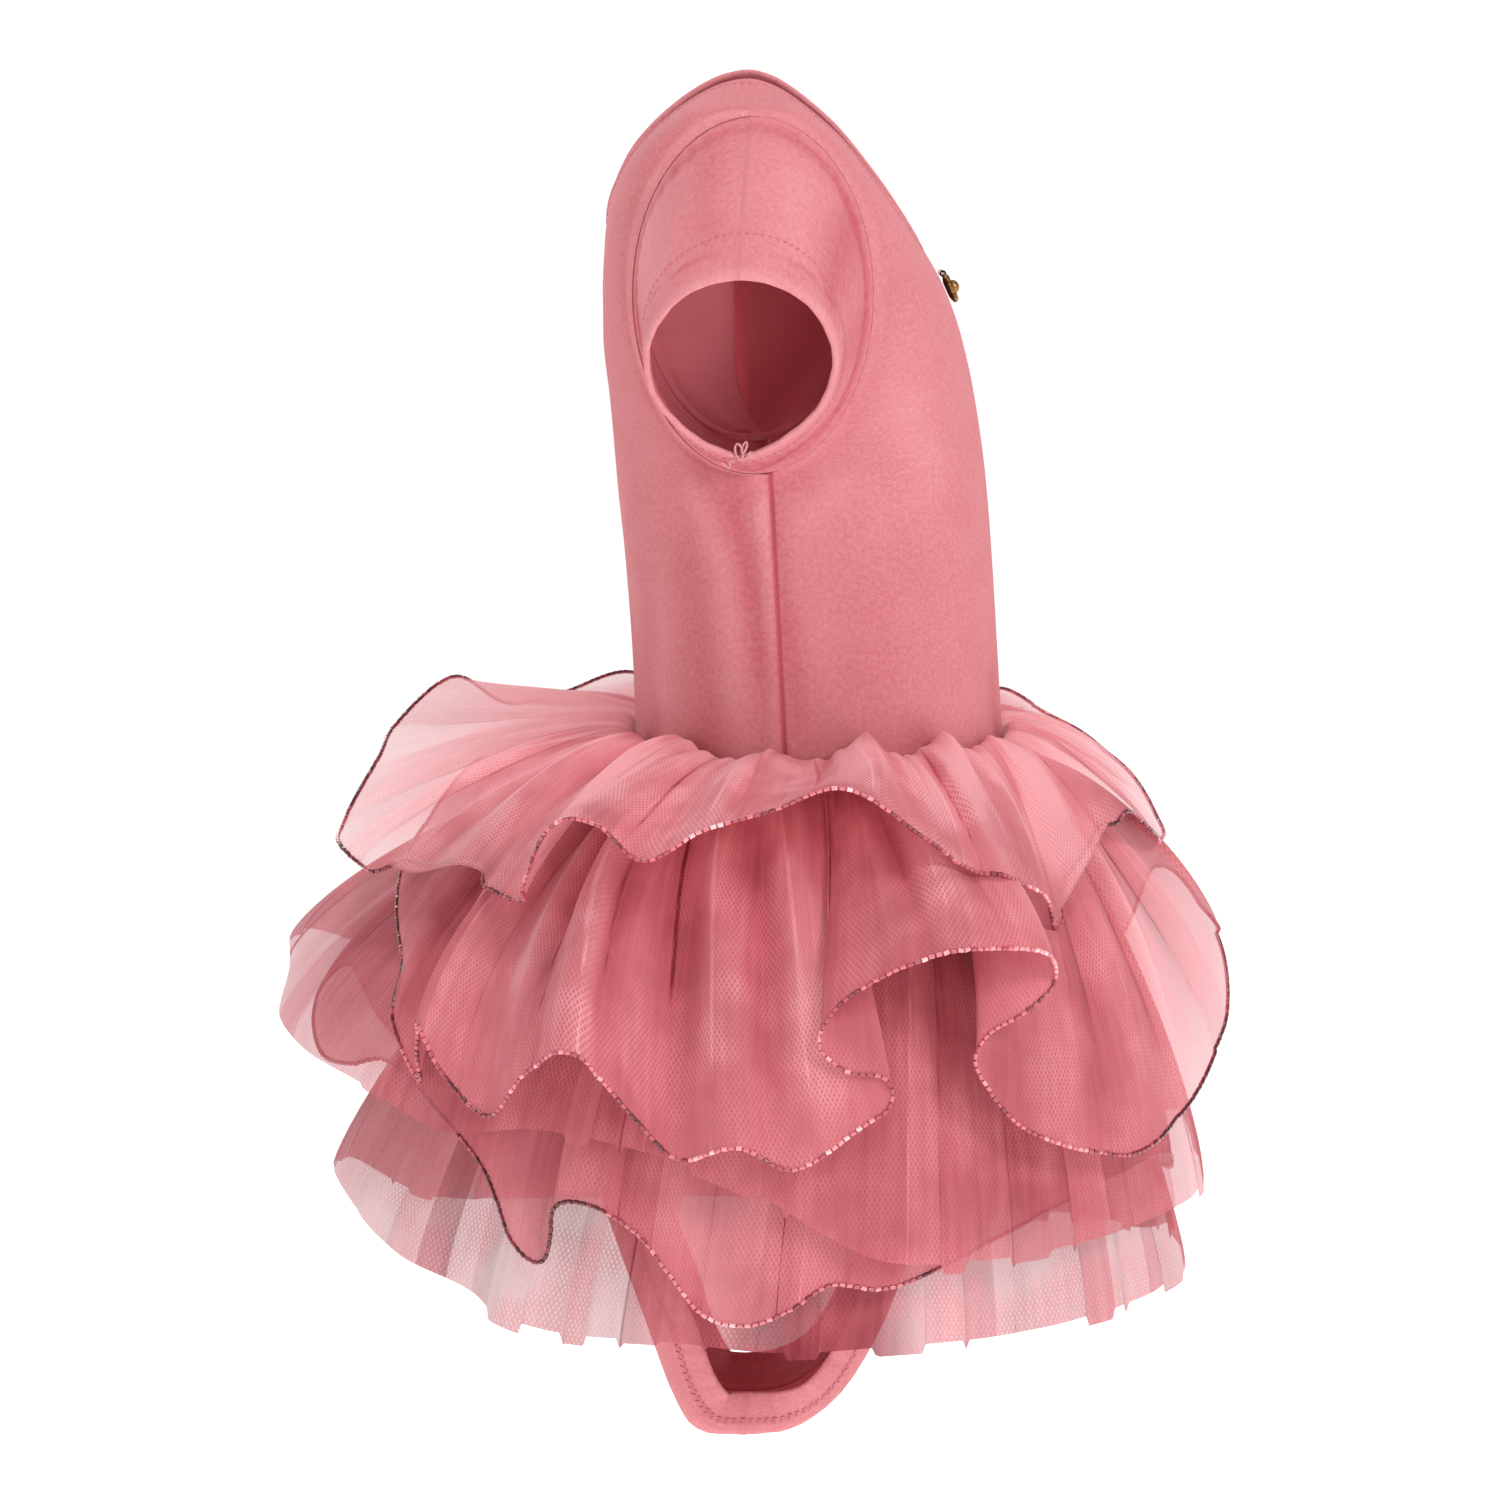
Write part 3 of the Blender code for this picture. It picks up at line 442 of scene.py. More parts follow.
def makeTulle(name, look):
    # soft nylon tulle: a six sided net of fine threads, see through where it is one layer
    # and solid where it is gathered; pleats lie over each other as soft strips
    material, tree, shader = newMaterial(name, look["sockets"])
    place = addNode(tree, "ShaderNodeAttribute", attribute_name="cloth").outputs["Vector"]
    layers, foldShading, edge, pleated = (addNode(tree, "ShaderNodeAttribute", attribute_name=key).outputs["Fac"]
                                   for key in ("layers", "foldShading", "edge", "pleated"))
    axes = addNode(tree, "ShaderNodeSeparateXYZ", {0: place})
    cloud = addNode(tree, "ShaderNodeTexNoise", {"Vector": place, "Scale": look["cloudScale"], "Detail": 2.0})
    # fine drape lines from the waist to the hem
    drawn = addNode(tree, "ShaderNodeVectorMath", {0: place, 1: look["drape"]}, operation="MULTIPLY")
    streak = addNode(tree, "ShaderNodeTexNoise", {"Vector": drawn.outputs[0], "Scale": 1.0, "Detail": 3.0})
    streak = addNode(tree, "ShaderNodeMath", {0: streak.outputs["Fac"], 1: 0.5}, operation="SUBTRACT")
    net = addNet(tree, axes, cloud, look)
    strip, extra = addStrips(tree, axes, pleated, look)
    line, foldLineShading = addFoldLines(tree, axes, edge, look)
    # layers seen at a point, then cover = 1 - (1 - one layer) ^ layers
    thick = addNode(tree, "ShaderNodeMath", {0: extra.outputs[0], 1: layers}, operation="ADD")
    thick = addNode(tree, "ShaderNodeMath", {0: line.outputs[0], 1: look["lineLayers"], 2: thick.outputs[0]},
                    operation="MULTIPLY_ADD")
    weave = addNode(tree, "ShaderNodeMath", {
        0: net.outputs[0], 1: look["netDepth"], 2: 1 - look["netDepth"] * 0.3}, operation="MULTIPLY_ADD")
    thick = addNode(tree, "ShaderNodeMath", {0: thick.outputs[0], 1: weave.outputs[0]}, operation="MULTIPLY")
    clear = addNode(tree, "ShaderNodeMath", {0: 1 - look["oneLayer"], 1: thick.outputs[0]},
                    operation="POWER")
    cover = addNode(tree, "ShaderNodeMath", {0: 1.0, 1: clear.outputs[0]}, operation="SUBTRACT")
    tree.links.new(cover.outputs[0], shader.inputs["Alpha"])
    # colour: the painted fold shading, a soft cloud, half pleat tone, the painted fold lines, net and drape
    # lines
    tone = addNode(tree, "ShaderNodeMath", {0: cloud.outputs["Fac"], 1: look["cloudTone"], 2: foldShading},
                   operation="MULTIPLY_ADD")
    for pattern, share in ((strip, look["stripTone"]), (foldLineShading, 1.0), (net, look["netTone"]),
                           (streak, look["streak"])):
        tone = addNode(tree, "ShaderNodeMath", {0: pattern.outputs[0], 1: share, 2: tone.outputs[0]},
                       operation="MULTIPLY_ADD")
    tone = addNode(tree, "ShaderNodeMath", {0: tone.outputs[0], 1: look["toneScale"]}, operation="MULTIPLY")
    ramp = addNode(tree, "ShaderNodeValToRGB", {"Fac": tone.outputs[0]})
    setStops(ramp.color_ramp, look["stops"])
    tree.links.new(ramp.outputs["Color"], shader.inputs["Base Color"])
    return material


wavyTulle = makeTulle("softTulleWavy", wavyTulleLook)
plainTulle = makeTulle("softTullePleated", plainTulleLook)

beadLook = {
    "stops": [(0.0, "#5E1826"), (0.22, "#8A2F3D"), (0.42, "#B24E5A"), (0.62, "#D9727D"),
              (0.78, "#F49AA3"), (0.92, "#FFC3C8")],
    "sockets": {"Roughness": 0.22, "IOR": 1.52, "Coat Weight": 0.5},
}


def makeBead(name, look):
    # silver lined glass bugle beads, from wine red to a pale pink, smooth and bright; the beads' own colours
    # mixed with painted glints in the palest pinks and painted shade in the darkest wines
    material, tree, shader = newMaterial(name, look["sockets"])
    tone = addNode(tree, "ShaderNodeAttribute", attribute_name="tone").outputs["Fac"]
    ramp = addNode(tree, "ShaderNodeValToRGB", {"Fac": tone})
    ramp.color_ramp.interpolation = "CONSTANT"
    setStops(ramp.color_ramp, look["stops"])
    tree.links.new(ramp.outputs["Color"], shader.inputs["Base Color"])
    return material


threadLook = {
    "ply": 1800.0,          # noise features a metre, as close as the twist of its plies
    "plyShade": 0.75,       # colour between the plies
    "sockets": {"Roughness": 0.55},
}


def makeThread(name, colour, look):
    # spun polyester thread, two plies, slightly bright
    material, tree, shader = newMaterial(name, look["sockets"])
    place = addNode(tree, "ShaderNodeTexCoord").outputs["Object"]
    ply = addNode(tree, "ShaderNodeTexNoise", {"Vector": place, "Scale": look["ply"], "Detail": 1.0})
    lit = toLinear(colour)
    mix = addNode(tree, "ShaderNodeMix", {
        "Factor": ply.outputs["Fac"], 6: [look["plyShade"] * c for c in lit[:3]] + [1.0], 7: lit},
        data_type="RGBA")
    tree.links.new(mix.outputs[2], shader.inputs["Base Color"])
    return material


brassLook = {
    "stops": [(0.3, "#20110A"), (0.6, "#5A3C20"), (1.0, "#A87C48")],    # from hollow to rise
    "stain": 420.0, "stainShare": 0.7,
    "sockets": {"Metallic": 1.0, "Roughness": 0.38},
}


def makeBrass(name, look):
    # cast brass dipped to an antique brown: dark in the hollows, rubbed bright on the rises
    material, tree, shader = newMaterial(name, look["sockets"])
    place = addNode(tree, "ShaderNodeTexCoord").outputs["Object"]
    stain = addNode(tree, "ShaderNodeTexNoise", {"Vector": place, "Scale": look["stain"], "Detail": 4.0})
    rise = addNode(tree, "ShaderNodeAttribute", attribute_name="rise").outputs["Fac"]
    worn = addNode(tree, "ShaderNodeMath", {0: stain.outputs["Fac"], 1: look["stainShare"], 2: rise},
                   operation="MULTIPLY_ADD")
    ramp = addNode(tree, "ShaderNodeValToRGB", {"Fac": worn.outputs[0]})
    setStops(ramp.color_ramp, look["stops"])
    tree.links.new(ramp.outputs["Color"], shader.inputs["Base Color"])
    return material


glassBead = makeBead("glassBugle", beadLook)
seamThread = makeThread("polyesterThreadRose", "#CC707A", threadLook)
loopThread = makeThread("polyesterThreadPale", "#E59AA1", threadLook)
cordThread = makeThread("polyesterCordWine", "#8A3040", threadLook)
antiqueBrass = makeBrass("antiqueBrass", brassLook)
print("materials ready")


# the leotard: the rules of its solids on finer grids, with seams and creases; the crotch
# hangs 3 mm lower than the solid's

leotard = {
    "wall": 1.2, "seamGap": 0.02, "square": 2.2,
    "neckHalfWidth": 52.0, "neckFront": 56.6, "neckBack": 47.0, "neckRound": 2.8, "neckBand": 3.6,
    "armholeY": -1.5, "armholeZ": -73.0, "armholeDepth": 41.0, "armholeHeight": 61.0,
    "underarmDip": 16.0,
    # cells across half a panel, then down its neck, chest, waist, hips and legs
    "columns": 48, "neckRows": 35, "chestRows": 20, "waistRows": 30, "hipRows": 15, "legRows": 60,
    "closeColumns": (0.55, 0.82),       # two more close to the seam, so that it folds in crisply
    # height and half width of the side seam's groove and of its painted shade, then the proud allowance
    "groove": (0.9, 0.8), "grooveShade": (2.4, 0.6), "allowance": 0.55,
    # height of the armhole's rolled edge and of the hollow beside it, and the front's share
    "rolledEdge": 0.6, "hollow": 0.35, "frontShare": 0.35,
    # the leg elastic draws the cloth in: height, spacing and how far from the edge it reaches
    "legPull": (0.35, 7.3, 9.0),
    "creaseShade": 0.8, "insideShade": 0.85, "creaseReach": 18,
    # z, half width, front and back depth, side seam y, squareness
    "sections": [
        (0.0, 52.0, 0.5, 0.5, 0.0, 6.0), (-2.0, 58.0, 8.0, 10.0, 0.0, 6.0),
        (-5.0, 67.0, 13.0, 16.0, 0.0, 6.0), (-12.0, 88.0, 22.0, 26.0, 0.0, 6.0),
        (-20.0, 88.0, 31.0, 35.0, -0.5, 6.0), (-30.0, 87.5, 39.5, 43.0, -1.1, 5.6),
        (-44.0, 87.0, 50.0, 48.5, -2.0, 5.0), (-60.0, 86.0, 60.0, 50.3, -2.9, 4.4),
        (-75.0, 85.5, 68.5, 51.0, -3.8, 3.8), (-90.0, 85.0, 74.0, 51.0, -4.7, 3.3),
        (-113.0, 84.5, 79.2, 48.8, -6.1, 2.8), (-141.0, 84.0, 83.2, 46.2, -7.7, 2.5),
        (-170.0, 83.5, 85.6, 43.5, -9.3, 2.3), (-205.0, 82.5, 87.8, 41.0, -11.1, 2.2),
        (-238.7, 82.0, 89.8, 39.6, -12.7, 2.2),
    ],
    # centre y and z, edge x, y and z, degrees of the oval, waist to crotch
    "lowerFront": [
        (-89.8, -238.7, 82.0, -12.7, -238.7, 90.0), (-89.0, -262.0, 84.0, -12.6, -260.0, 90.0),
        (-86.0, -296.0, 86.0, -12.5, -292.0, 90.0), (-80.0, -331.0, 86.5, -12.5, -325.0, 90.0),
        (-75.0, -352.0, 81.0, -43.0, -338.0, 66.0), (-69.5, -374.0, 68.0, -58.0, -362.0, 56.0),
        (-62.5, -399.0, 54.0, -58.5, -390.0, 50.0), (-55.0, -424.0, 44.0, -51.0, -418.0, 50.0),
        (-45.5, -447.0, 39.0, -41.0, -443.0, 60.0), (-33.0, -466.5, 36.5, -29.0, -463.0, 72.0),
        (-16.5, -478.6, 35.5, -14.0, -473.5, 84.0), (1.4, -481.3, 35.0, 1.4, -475.5, 88.0),
    ],
    "lowerBack": [
        (39.6, -238.7, 82.0, -12.7, -238.7, 90.0), (47.0, -262.0, 84.0, -12.6, -260.0, 90.0),
        (56.0, -296.0, 86.0, -12.5, -292.0, 90.0), (61.5, -331.0, 86.5, -12.5, -325.0, 90.0),
        (61.5, -353.0, 84.0, 14.0, -338.0, 66.0), (58.0, -375.0, 74.0, 36.0, -360.0, 58.0),
        (52.5, -397.0, 61.0, 42.0, -388.0, 52.0), (45.0, -419.0, 50.0, 37.5, -414.0, 54.0),
        (36.5, -443.0, 42.5, 29.0, -438.0, 62.0), (27.5, -467.3, 38.5, 22.0, -461.0, 74.0),
        (19.0, -479.6, 36.0, 14.0, -473.5, 84.0), (1.4, -481.3, 35.0, 1.4, -475.5, 88.0),
    ],
    # soft creases: a point near the cloth, the way the crease runs, half length, half
    # width and height, troughs being negative
    "creases": [
        ((-84, 1, -172), (0, -0.16, -1), 52, 5, -1.1), ((-82, 8, -190), (0, -0.1, -1), 34, 6, 0.8),
        ((-78, 22, -196), (0, -0.05, -1), 42, 8, -0.6), ((-60, 33, -205), (0.1, 0.05, -1), 34, 7, 0.6),
        ((-84, 14, -138), (0, -0.45, -1), 20, 5, -0.8), ((-84, 20, -150), (0, -0.3, -1), 17, 4.5, 0.5),
        ((-84, -14, -137), (0, 0.9, -0.45), 10, 3, -0.7), ((-83, -25, -145), (0, 0.7, -0.7), 14, 6, 0.5),
        ((-78, -44, -196), (0.1, 0.1, -1), 40, 14, -0.2), ((-72, -56, -120), (0.2, -0.3, -1), 30, 12, 0.6),
        ((-70, -60, -228), (0.2, 0.2, -1), 12, 7, -0.4), ((-50, 36, -228), (0.1, 0, -1), 13, 6, -0.6),
        ((84, 0, -165), (0, -0.12, -1), 44, 5.5, -1.4), ((82, 10, -198), (0, 0.06, -1), 30, 6.5, 1),
        ((83, -24, -150), (0, 0.5, -0.8), 22, 7, -1), ((80, -40, -205), (-0.1, 0.1, -1), 30, 9, 0.9),
        ((74, 28, -160), (0, -0.3, -1), 26, 6, -1.2), ((64, 36, -215), (0, 0.1, -1), 22, 7, -0.9),
        ((30, 45, -150), (0.3, 0, -1), 30, 9, -0.8), ((-28, 45, -165), (-0.2, 0, -1), 36, 11, 0.7),
        ((26, -84, -180), (0.15, 0, -1), 34, 12, -0.6), ((-24, -86, -222), (0.1, 0, -1), 18, 8, -0.8),
        ((44, -76, -226), (0.2, 0, -1), 16, 6, -0.8), ((-84, -5, -300), (0, 0.2, -1), 26, 7, -1),
        ((84, -2, -296), (0, -0.2, -1), 24, 8, -1), ((-66, 34, -330), (0.5, 0.4, -0.6), 18, 5, -1),
        ((64, 36, -332), (-0.5, 0.4, -0.6), 20, 6, -1.1), ((-60, -58, -350), (0.7, 0.2, -0.6), 18, 5, -0.8),
        ((58, -60, -352), (-0.7, 0.2, -0.6), 16, 5, -0.8),
    ],
}


def sectionAt(column, z):
    # one measure of the body at a height
    return throughTable(leotard["sections"], column, z)


def bodyPoint(turn, z, front):
    # superellipse with half axes width and depth: radius (|cos|^n + |sin|^n) ^ (-1/n)
    width, deepFront, deepBack, seam, square = (sectionAt(column, z) for column in range(1, 6))
    cos, sin = np.abs(np.cos(turn)), np.abs(np.sin(turn))
    ring = (cos ** square + sin ** square) ** (-1 / square)
    depth = -(deepFront + seam) if front else deepBack - seam
    return np.stack([width * ring * sin, seam + depth * ring * cos, z], axis=-1)


def turnFromX(x, z):
    # the turn whose point lies at x: the superellipse solved for its other side
    square = sectionAt(5, z)
    side = np.clip(x / sectionAt(1, z), 0, 1)
    return np.arctan2(side, np.maximum(1 - side ** square, 0) ** (1 / square))


def turnFromY(y, z, front):
    # the same for a point at y
    seam, square = sectionAt(4, z), sectionAt(5, z)
    depth = -(sectionAt(2, z) + seam) if front else sectionAt(3, z) - seam
    ahead = np.clip((y - seam) / depth, 0, 1)
    return np.arctan2(np.maximum(1 - ahead ** square, 0) ** (1 / square), ahead)


def neckEdge(front, count):
    # superellipse in x and z, from the shoulder seam to the centre line
    look = leotard
    depth = look["neckFront"] if front else look["neckBack"]
    top = -look["neckBand"] / 3
    angle = np.linspace(0, np.pi / 2, 900)
    x = (look["neckHalfWidth"] + look["neckBand"]) * np.cos(angle) ** (2 / look["neckRound"])
    z = top - (depth + look["neckBand"] + top) * np.sin(angle) ** (2 / look["neckRound"])
    turn = turnFromX(x, z)
    turn[0], turn[-1] = np.pi / 2, 0
    return evenSteps(np.stack([turn, z], 1), bodyPoint(turn, z, front), count)


def armholeEdge(front, count):
    # oval in y and z, from the shoulder tip to the underarm
    look = leotard
    angle = np.linspace(0, np.pi, 1200)
    side = -1 if front else 1
    y = look["armholeY"] + side * look["armholeDepth"] * np.sin(angle)
    z = look["armholeZ"] + look["armholeHeight"] * np.cos(angle)
    own = side * (y - sectionAt(4, z)) > 0
    y, z = y[own], z[own]
    turn = turnFromY(y, z, front)
    turn[0] = turn[-1] = np.pi / 2
    return evenSteps(np.stack([turn, z], 1), bodyPoint(turn, z, front), count)


def upperRows(front):
    # straight lines in turn and height from the neckline and centre to the armhole and side
    look = leotard
    neck = neckEdge(front, look["neckRows"] + 1)
    arm = armholeEdge(front, look["neckRows"] + look["chestRows"] + 1)
    waist = look["sections"][-1][0]
    level = arm[-1, 1] - look["underarmDip"]
    centreZ = np.concatenate([np.linspace(neck[-1, 1], level, look["chestRows"] + 1)[1:],
                              np.linspace(level, waist, look["waistRows"] + 1)[1:]])
    seamZ = np.linspace(arm[-1, 1], waist, look["waistRows"] + 1)[1:]
    left = np.concatenate([neck, np.stack([0 * centreZ, centreZ], 1)])
    right = np.concatenate([arm, np.stack([0 * seamZ + np.pi / 2, seamZ], 1)])
    part = np.linspace(0, 1, 160)[None, :, None]
    lines = left[:, None] + (right - left)[:, None] * part
    points = bodyPoint(lines[..., 0], lines[..., 1], front)
    return [evenSteps(row, row, look["columns"] + 1) for row in points]


def lowerRows(front):
    # each row swings as a superellipse from the centre line to the side or leg seam
    look = leotard
    table = np.array(look["lowerFront" if front else "lowerBack"], float)
    hips, legs = spline(table[:4], 24), spline(table[3:], 24)
    hips = evenSteps(hips, hips[:, 2:5], look["hipRows"] + 1)[1:]
    legs = evenSteps(legs, legs[:, 2:5], look["legRows"] + 1)[1:]
    rows = np.concatenate([hips, legs])[:, :, None]
    angle = np.linspace(0, 1, 160)[None, :] * np.radians(np.minimum(rows[:, 5], 90))
    sin = np.sin(angle) ** (2 / look["square"])
    fall = 1 - np.cos(angle) ** (2 / look["square"])
    sin, fall = sin / sin[:, -1:], fall / fall[:, -1:]
    points = np.stack([rows[:, 2] * sin, rows[:, 0] + (rows[:, 3] - rows[:, 0]) * fall,
                       rows[:, 1] + (rows[:, 4] - rows[:, 1]) * fall], axis=2)
    return [evenSteps(row, row, look["columns"] + 1) for row in points]


def rowsAbove(part):
    # rows of a panel's grid that come before one of its parts
    parts = ["neckRows", "chestRows", "waistRows", "hipRows", "legRows"]
    return sum(leotard[key] for key in parts[:parts.index(part)])


def plainHalf(front):
    # outer half grid without relief, and its outward normals
    look = leotard
    waist, legs = rowsAbove("waistRows"), rowsAbove("legRows")
    grid = np.array(upperRows(front) + lowerRows(front))
    last = grid[:, -1:] - grid[:, -2:-1]
    close = [grid[:, -2:-1] + last * part for part in look["closeColumns"]]
    grid = np.concatenate([grid[:, :-1], *close, grid[:, -1:]], axis=1)
    grid[:, :, 1] += (-0.5 if front else 0.5) * look["seamGap"]
    normal = gridNormals(grid)
    if normal[legs, 0, 1] * (-1 if front else 1) < 0:
        normal = -normal
    # flat across the centre line, the shoulder, the crotch and the side seam
    normal[look["neckRows"]:, 0, 0] = 0
    normal[0, :, 1] = 0
    normal[-1, :, 1] = 0
    normal[waist:legs + 1, -1, 1] = 0
    return grid, unit(normal)


def creaseRelief(grid, table):
    # each crease: height * exp(-(across/width)^2) * exp(-(along/length)^4)
    relief = np.zeros(grid.shape[:2])
    for point, way, length, width, height in table:
        gap = grid - np.array(point, float)
        nearest = np.argmin(np.sum(gap ** 2, axis=2))
        centre = grid.reshape(-1, 3)[nearest]
        if np.linalg.norm(centre - point) > leotard["creaseReach"]:
            continue        # it lies on another panel
        gap = grid - centre
        along = gap @ unit(np.array(way, float))
        across = np.sqrt(np.maximum(np.sum(gap ** 2, axis=2) - along ** 2, 0))
        relief += height * np.exp(-(across / width) ** 2 - (along / length) ** 4)
    return relief


def panelRelief(grid, front, side):
    # side seam: a groove as a bell curve with painted shade inside, and its allowance stands proud at the
    # back; armhole: a rolled edge and a hollow beside it, fainter in front; then the creases
    look = leotard
    arm, legs = rowsAbove("waistRows"), rowsAbove("legRows")
    seamed, beside = np.zeros((len(grid), 1)), np.zeros((len(grid), 1))
    seamed[arm:legs] = 1
    beside[:arm] = 1
    steps = np.linalg.norm(np.diff(grid, axis=1), axis=2)
    toEdge = np.concatenate([np.cumsum(steps[:, ::-1], axis=1)[:, ::-1], np.zeros((len(grid), 1))], axis=1)
    depth, wide = look["groove"]
    relief = -depth * np.exp(-(toEdge / wide) ** 2) * seamed
    if not front:
        proud = smoothStep(0.8, 2.2, toEdge) * (1 - smoothStep(5.0, 7.5, toEdge))
        relief += look["allowance"] * proud * seamed
    rolled = (look["rolledEdge"] * (1 - smoothStep(2.6, 4.6, toEdge))
              - look["hollow"] * np.exp(-((toEdge - 6.5) / 2.2) ** 2))
    relief += rolled * beside * (look["frontShare"] if front else 1.0)
    soft = creaseRelief(grid * (side, 1, 1), look["creases"])
    fade = smoothStep(0, 8, np.abs(grid[:, :, 0])) * smoothStep(0, 4, toEdge + 1.0)
    alongLeg = np.zeros((len(grid), 1))
    alongLeg[legs:, 0] = np.cumsum(np.linalg.norm(np.diff(grid[legs - 1:, -1], axis=0), axis=1))
    height, apart, reach = look["legPull"]
    drawn = height * np.sin(alongLeg / apart * 2 * np.pi + 1.4 * np.sin(alongLeg / 21.0))
    relief += drawn * np.exp(-toEdge / reach) * smoothStep(1.0, 4.0, toEdge)
    # painted shade along the side seam's groove
    strength, wide = look["grooveShade"]
    paintedDark = strength * np.exp(-(toEdge / wide) ** 2) * seamed
    return relief + soft * fade, paintedDark


def panelCloth(grid, side):
    # place on the cut cloth: across from the centre line, down along the middle column
    across = np.linalg.norm(np.diff(grid, axis=1), axis=2)
    start = np.where(np.arange(len(grid)) < leotard["neckRows"], grid[:, 0, 0], 0)[:, None]
    u = start + np.concatenate([0 * start, np.cumsum(across, axis=1)], axis=1)
    middle = lengthAlong(grid[:, grid.shape[1] // 2])[:, None]
    return np.stack([side * u, middle + 0 * u, 0 * u], axis=2)


def halfFaces(rows, columns, openRows):
    # outer and inner cells of half a panel and the thin faces along its cut edges
    count = rows * columns
    number = np.arange(count).reshape(rows, columns)
    outer = np.stack([number[:-1, :-1], number[:-1, 1:], number[1:, 1:], number[1:, :-1]], -1).reshape(-1, 4)
    runs = [number[0], number[-1], number[:, -1], number[:openRows + 1, 0]]
    edges = np.concatenate([np.stack([run[:-1], run[1:]], 1) for run in runs])
    rim = np.stack([edges[:, 0], edges[:, 1], edges[:, 1] + count, edges[:, 0] + count], 1)
    return np.concatenate([outer, outer[:, ::-1] + count, rim])


def makePanel(name, node, plain, front):
    # both halves with their inner skins, mirrored about x = 0 and welded there
    grid, normal = plain
    look = leotard
    points, cloth, creaseShading, inside = [], [], [], []
    for side in (1, -1):
        relief, paintedDark = panelRelief(grid, front, side)
        outer = grid + normal * relief[:, :, None]
        for skin, within in ((outer, 0.0), (outer - normal * look["wall"], look["insideShade"])):
            points.append((skin * (side, 1, 1)).reshape(-1, 3))
            cloth.append(panelCloth(grid, side).reshape(-1, 3))
            # painted shading: lighter where the relief rises, darker in its hollows and in the seam's painted
            # shade
            creaseShading.append((look["creaseShade"] * relief - paintedDark).ravel())
            inside.append(np.full(relief.size, within))
    half = halfFaces(*grid.shape[:2], look["neckRows"])
    faces = np.concatenate([half, half[:, ::-1] + 2 * grid.shape[0] * grid.shape[1]])
    values = {"cloth": np.concatenate(cloth), "creaseShading": np.concatenate(creaseShading),
              "inside": np.concatenate(inside)}
    obj = putMesh(name, np.concatenate(points), faces, values, weld=True)
    obj.data.set_sharp_from_angle(angle=sharpAngle)
    return finishPiece(obj, jersey, node)


frontHalf = plainHalf(True)
backHalf = plainHalf(False)
frontPiece = makePanel("frontPanel", "front", frontHalf, True)
backPiece = makePanel("backPanel", "back", backHalf, False)
print("front and back ready")


# sleeves

sleeves = {
    "around": 144, "rowsBetween": 9, "flatRatio": 0.35, "flatFullness": 1.25,
    "capPuff": 5.0, "puffWay": (0.6, 0, 0.8),
    "tuck": 1.4,        # how far the root lies under the edge of the armhole
    "hidden": 1.1,      # width of the root's hidden edge
    "rootInset": 0.03, "rootOut": 0.22,
    # depth, distance from the seam and half width of the hollow along the armhole, then of
    # the small puckers in it
    "hollow": (1.1, 5.0, 3.4), "puckers": (0.34, 6.0, 5.0),
    "hem": 9.0,         # depth of the turned hem, which stands proud and is thicker
    "hemProud": 0.35, "hemThicker": 0.9,
    "hemWaves": [(0.14, 9, 0.7), (0.09, 23, 2.0)],      # height, waves round, phase
    # part of the way down, centre, up, half depth, pinch
    "right": [(1.0, 110.0, 2.7, -94.0, 15.0, 0.0, 29.5, 32.5, 0.16)],
    "left": [(0.5, 95.0, -6.0, -84.0, 8.0, 2.0, 51.0, 12.5, 0.0),
             (0.75, 103.0, 7.0, -91.0, 10.0, 3.0, 46.0, 12.0, 0.0),
             (1.0, 110.0, 20.0, -98.0, 12.0, 4.0, 41.0, 12.0, 0.0)],
    # creases down the sleeve: place round it in degrees from its top over the front,
    # part of the way down, half width in degrees, half length in parts, height
    "creases": {
        "right": [(62, 0.5, 12, 0.5, -0.9), (98, 0.62, 15, 0.4, -0.6), (300, 0.45, 16, 0.5, 0.9),
                  (262, 0.5, 13, 0.42, -1.0), (28, 0.6, 15, 0.3, 0.5), (338, 0.5, 10, 0.4, -0.4)],
        "left": [(20, 0.6, 12, 0.4, -0.8), (55, 0.5, 14, 0.5, 0.8), (120, 0.55, 15, 0.4, -0.7),
                 (240, 0.6, 14, 0.4, 0.6), (305, 0.5, 12, 0.5, -0.9)],
    },
}


def sleeveRing(row):
    # oval about a tilted upright line; a flat one is clipped, a pinched one drawn to a point
    look = sleeves
    centre, up, halfDepth, pinch = np.array(row[1:4]), np.array(row[4:7]), row[7], row[8]
    tall = np.linalg.norm(up)
    angle = np.linspace(0, 2 * np.pi, 1441 if halfDepth < look["flatRatio"] * tall else look["around"] + 1)
    if halfDepth < look["flatRatio"] * tall:
        wide = np.clip(look["flatFullness"] * np.sin(angle), -1, 1)
        oval = np.stack([halfDepth * wide, tall * np.cos(angle)], axis=1)
        oval = evenSteps(oval, oval, look["around"] + 1)
    else:
        sharp = pinch * np.maximum(0, -np.cos(angle)) * (1 - np.abs(np.sin(angle))) ** 1.5
        oval = np.stack([halfDepth * np.sin(angle), tall * (np.cos(angle) - sharp)], axis=1)
    oval = oval[:-1]
    return centre + oval[:, 1:] * up / tall - oval[:, :1] * (0, 1, 0)


def roundRim(outer, inner, past):
    # half circle from the outer edge over to the inner one
    middle, half = (outer + inner) / 2, (outer - inner) / 2
    reach = unit(past) * np.linalg.norm(half, axis=1, keepdims=True)
    angle = np.radians([40, 90, 140])[:, None, None]
    return middle + half * np.cos(angle) + reach * np.sin(angle)


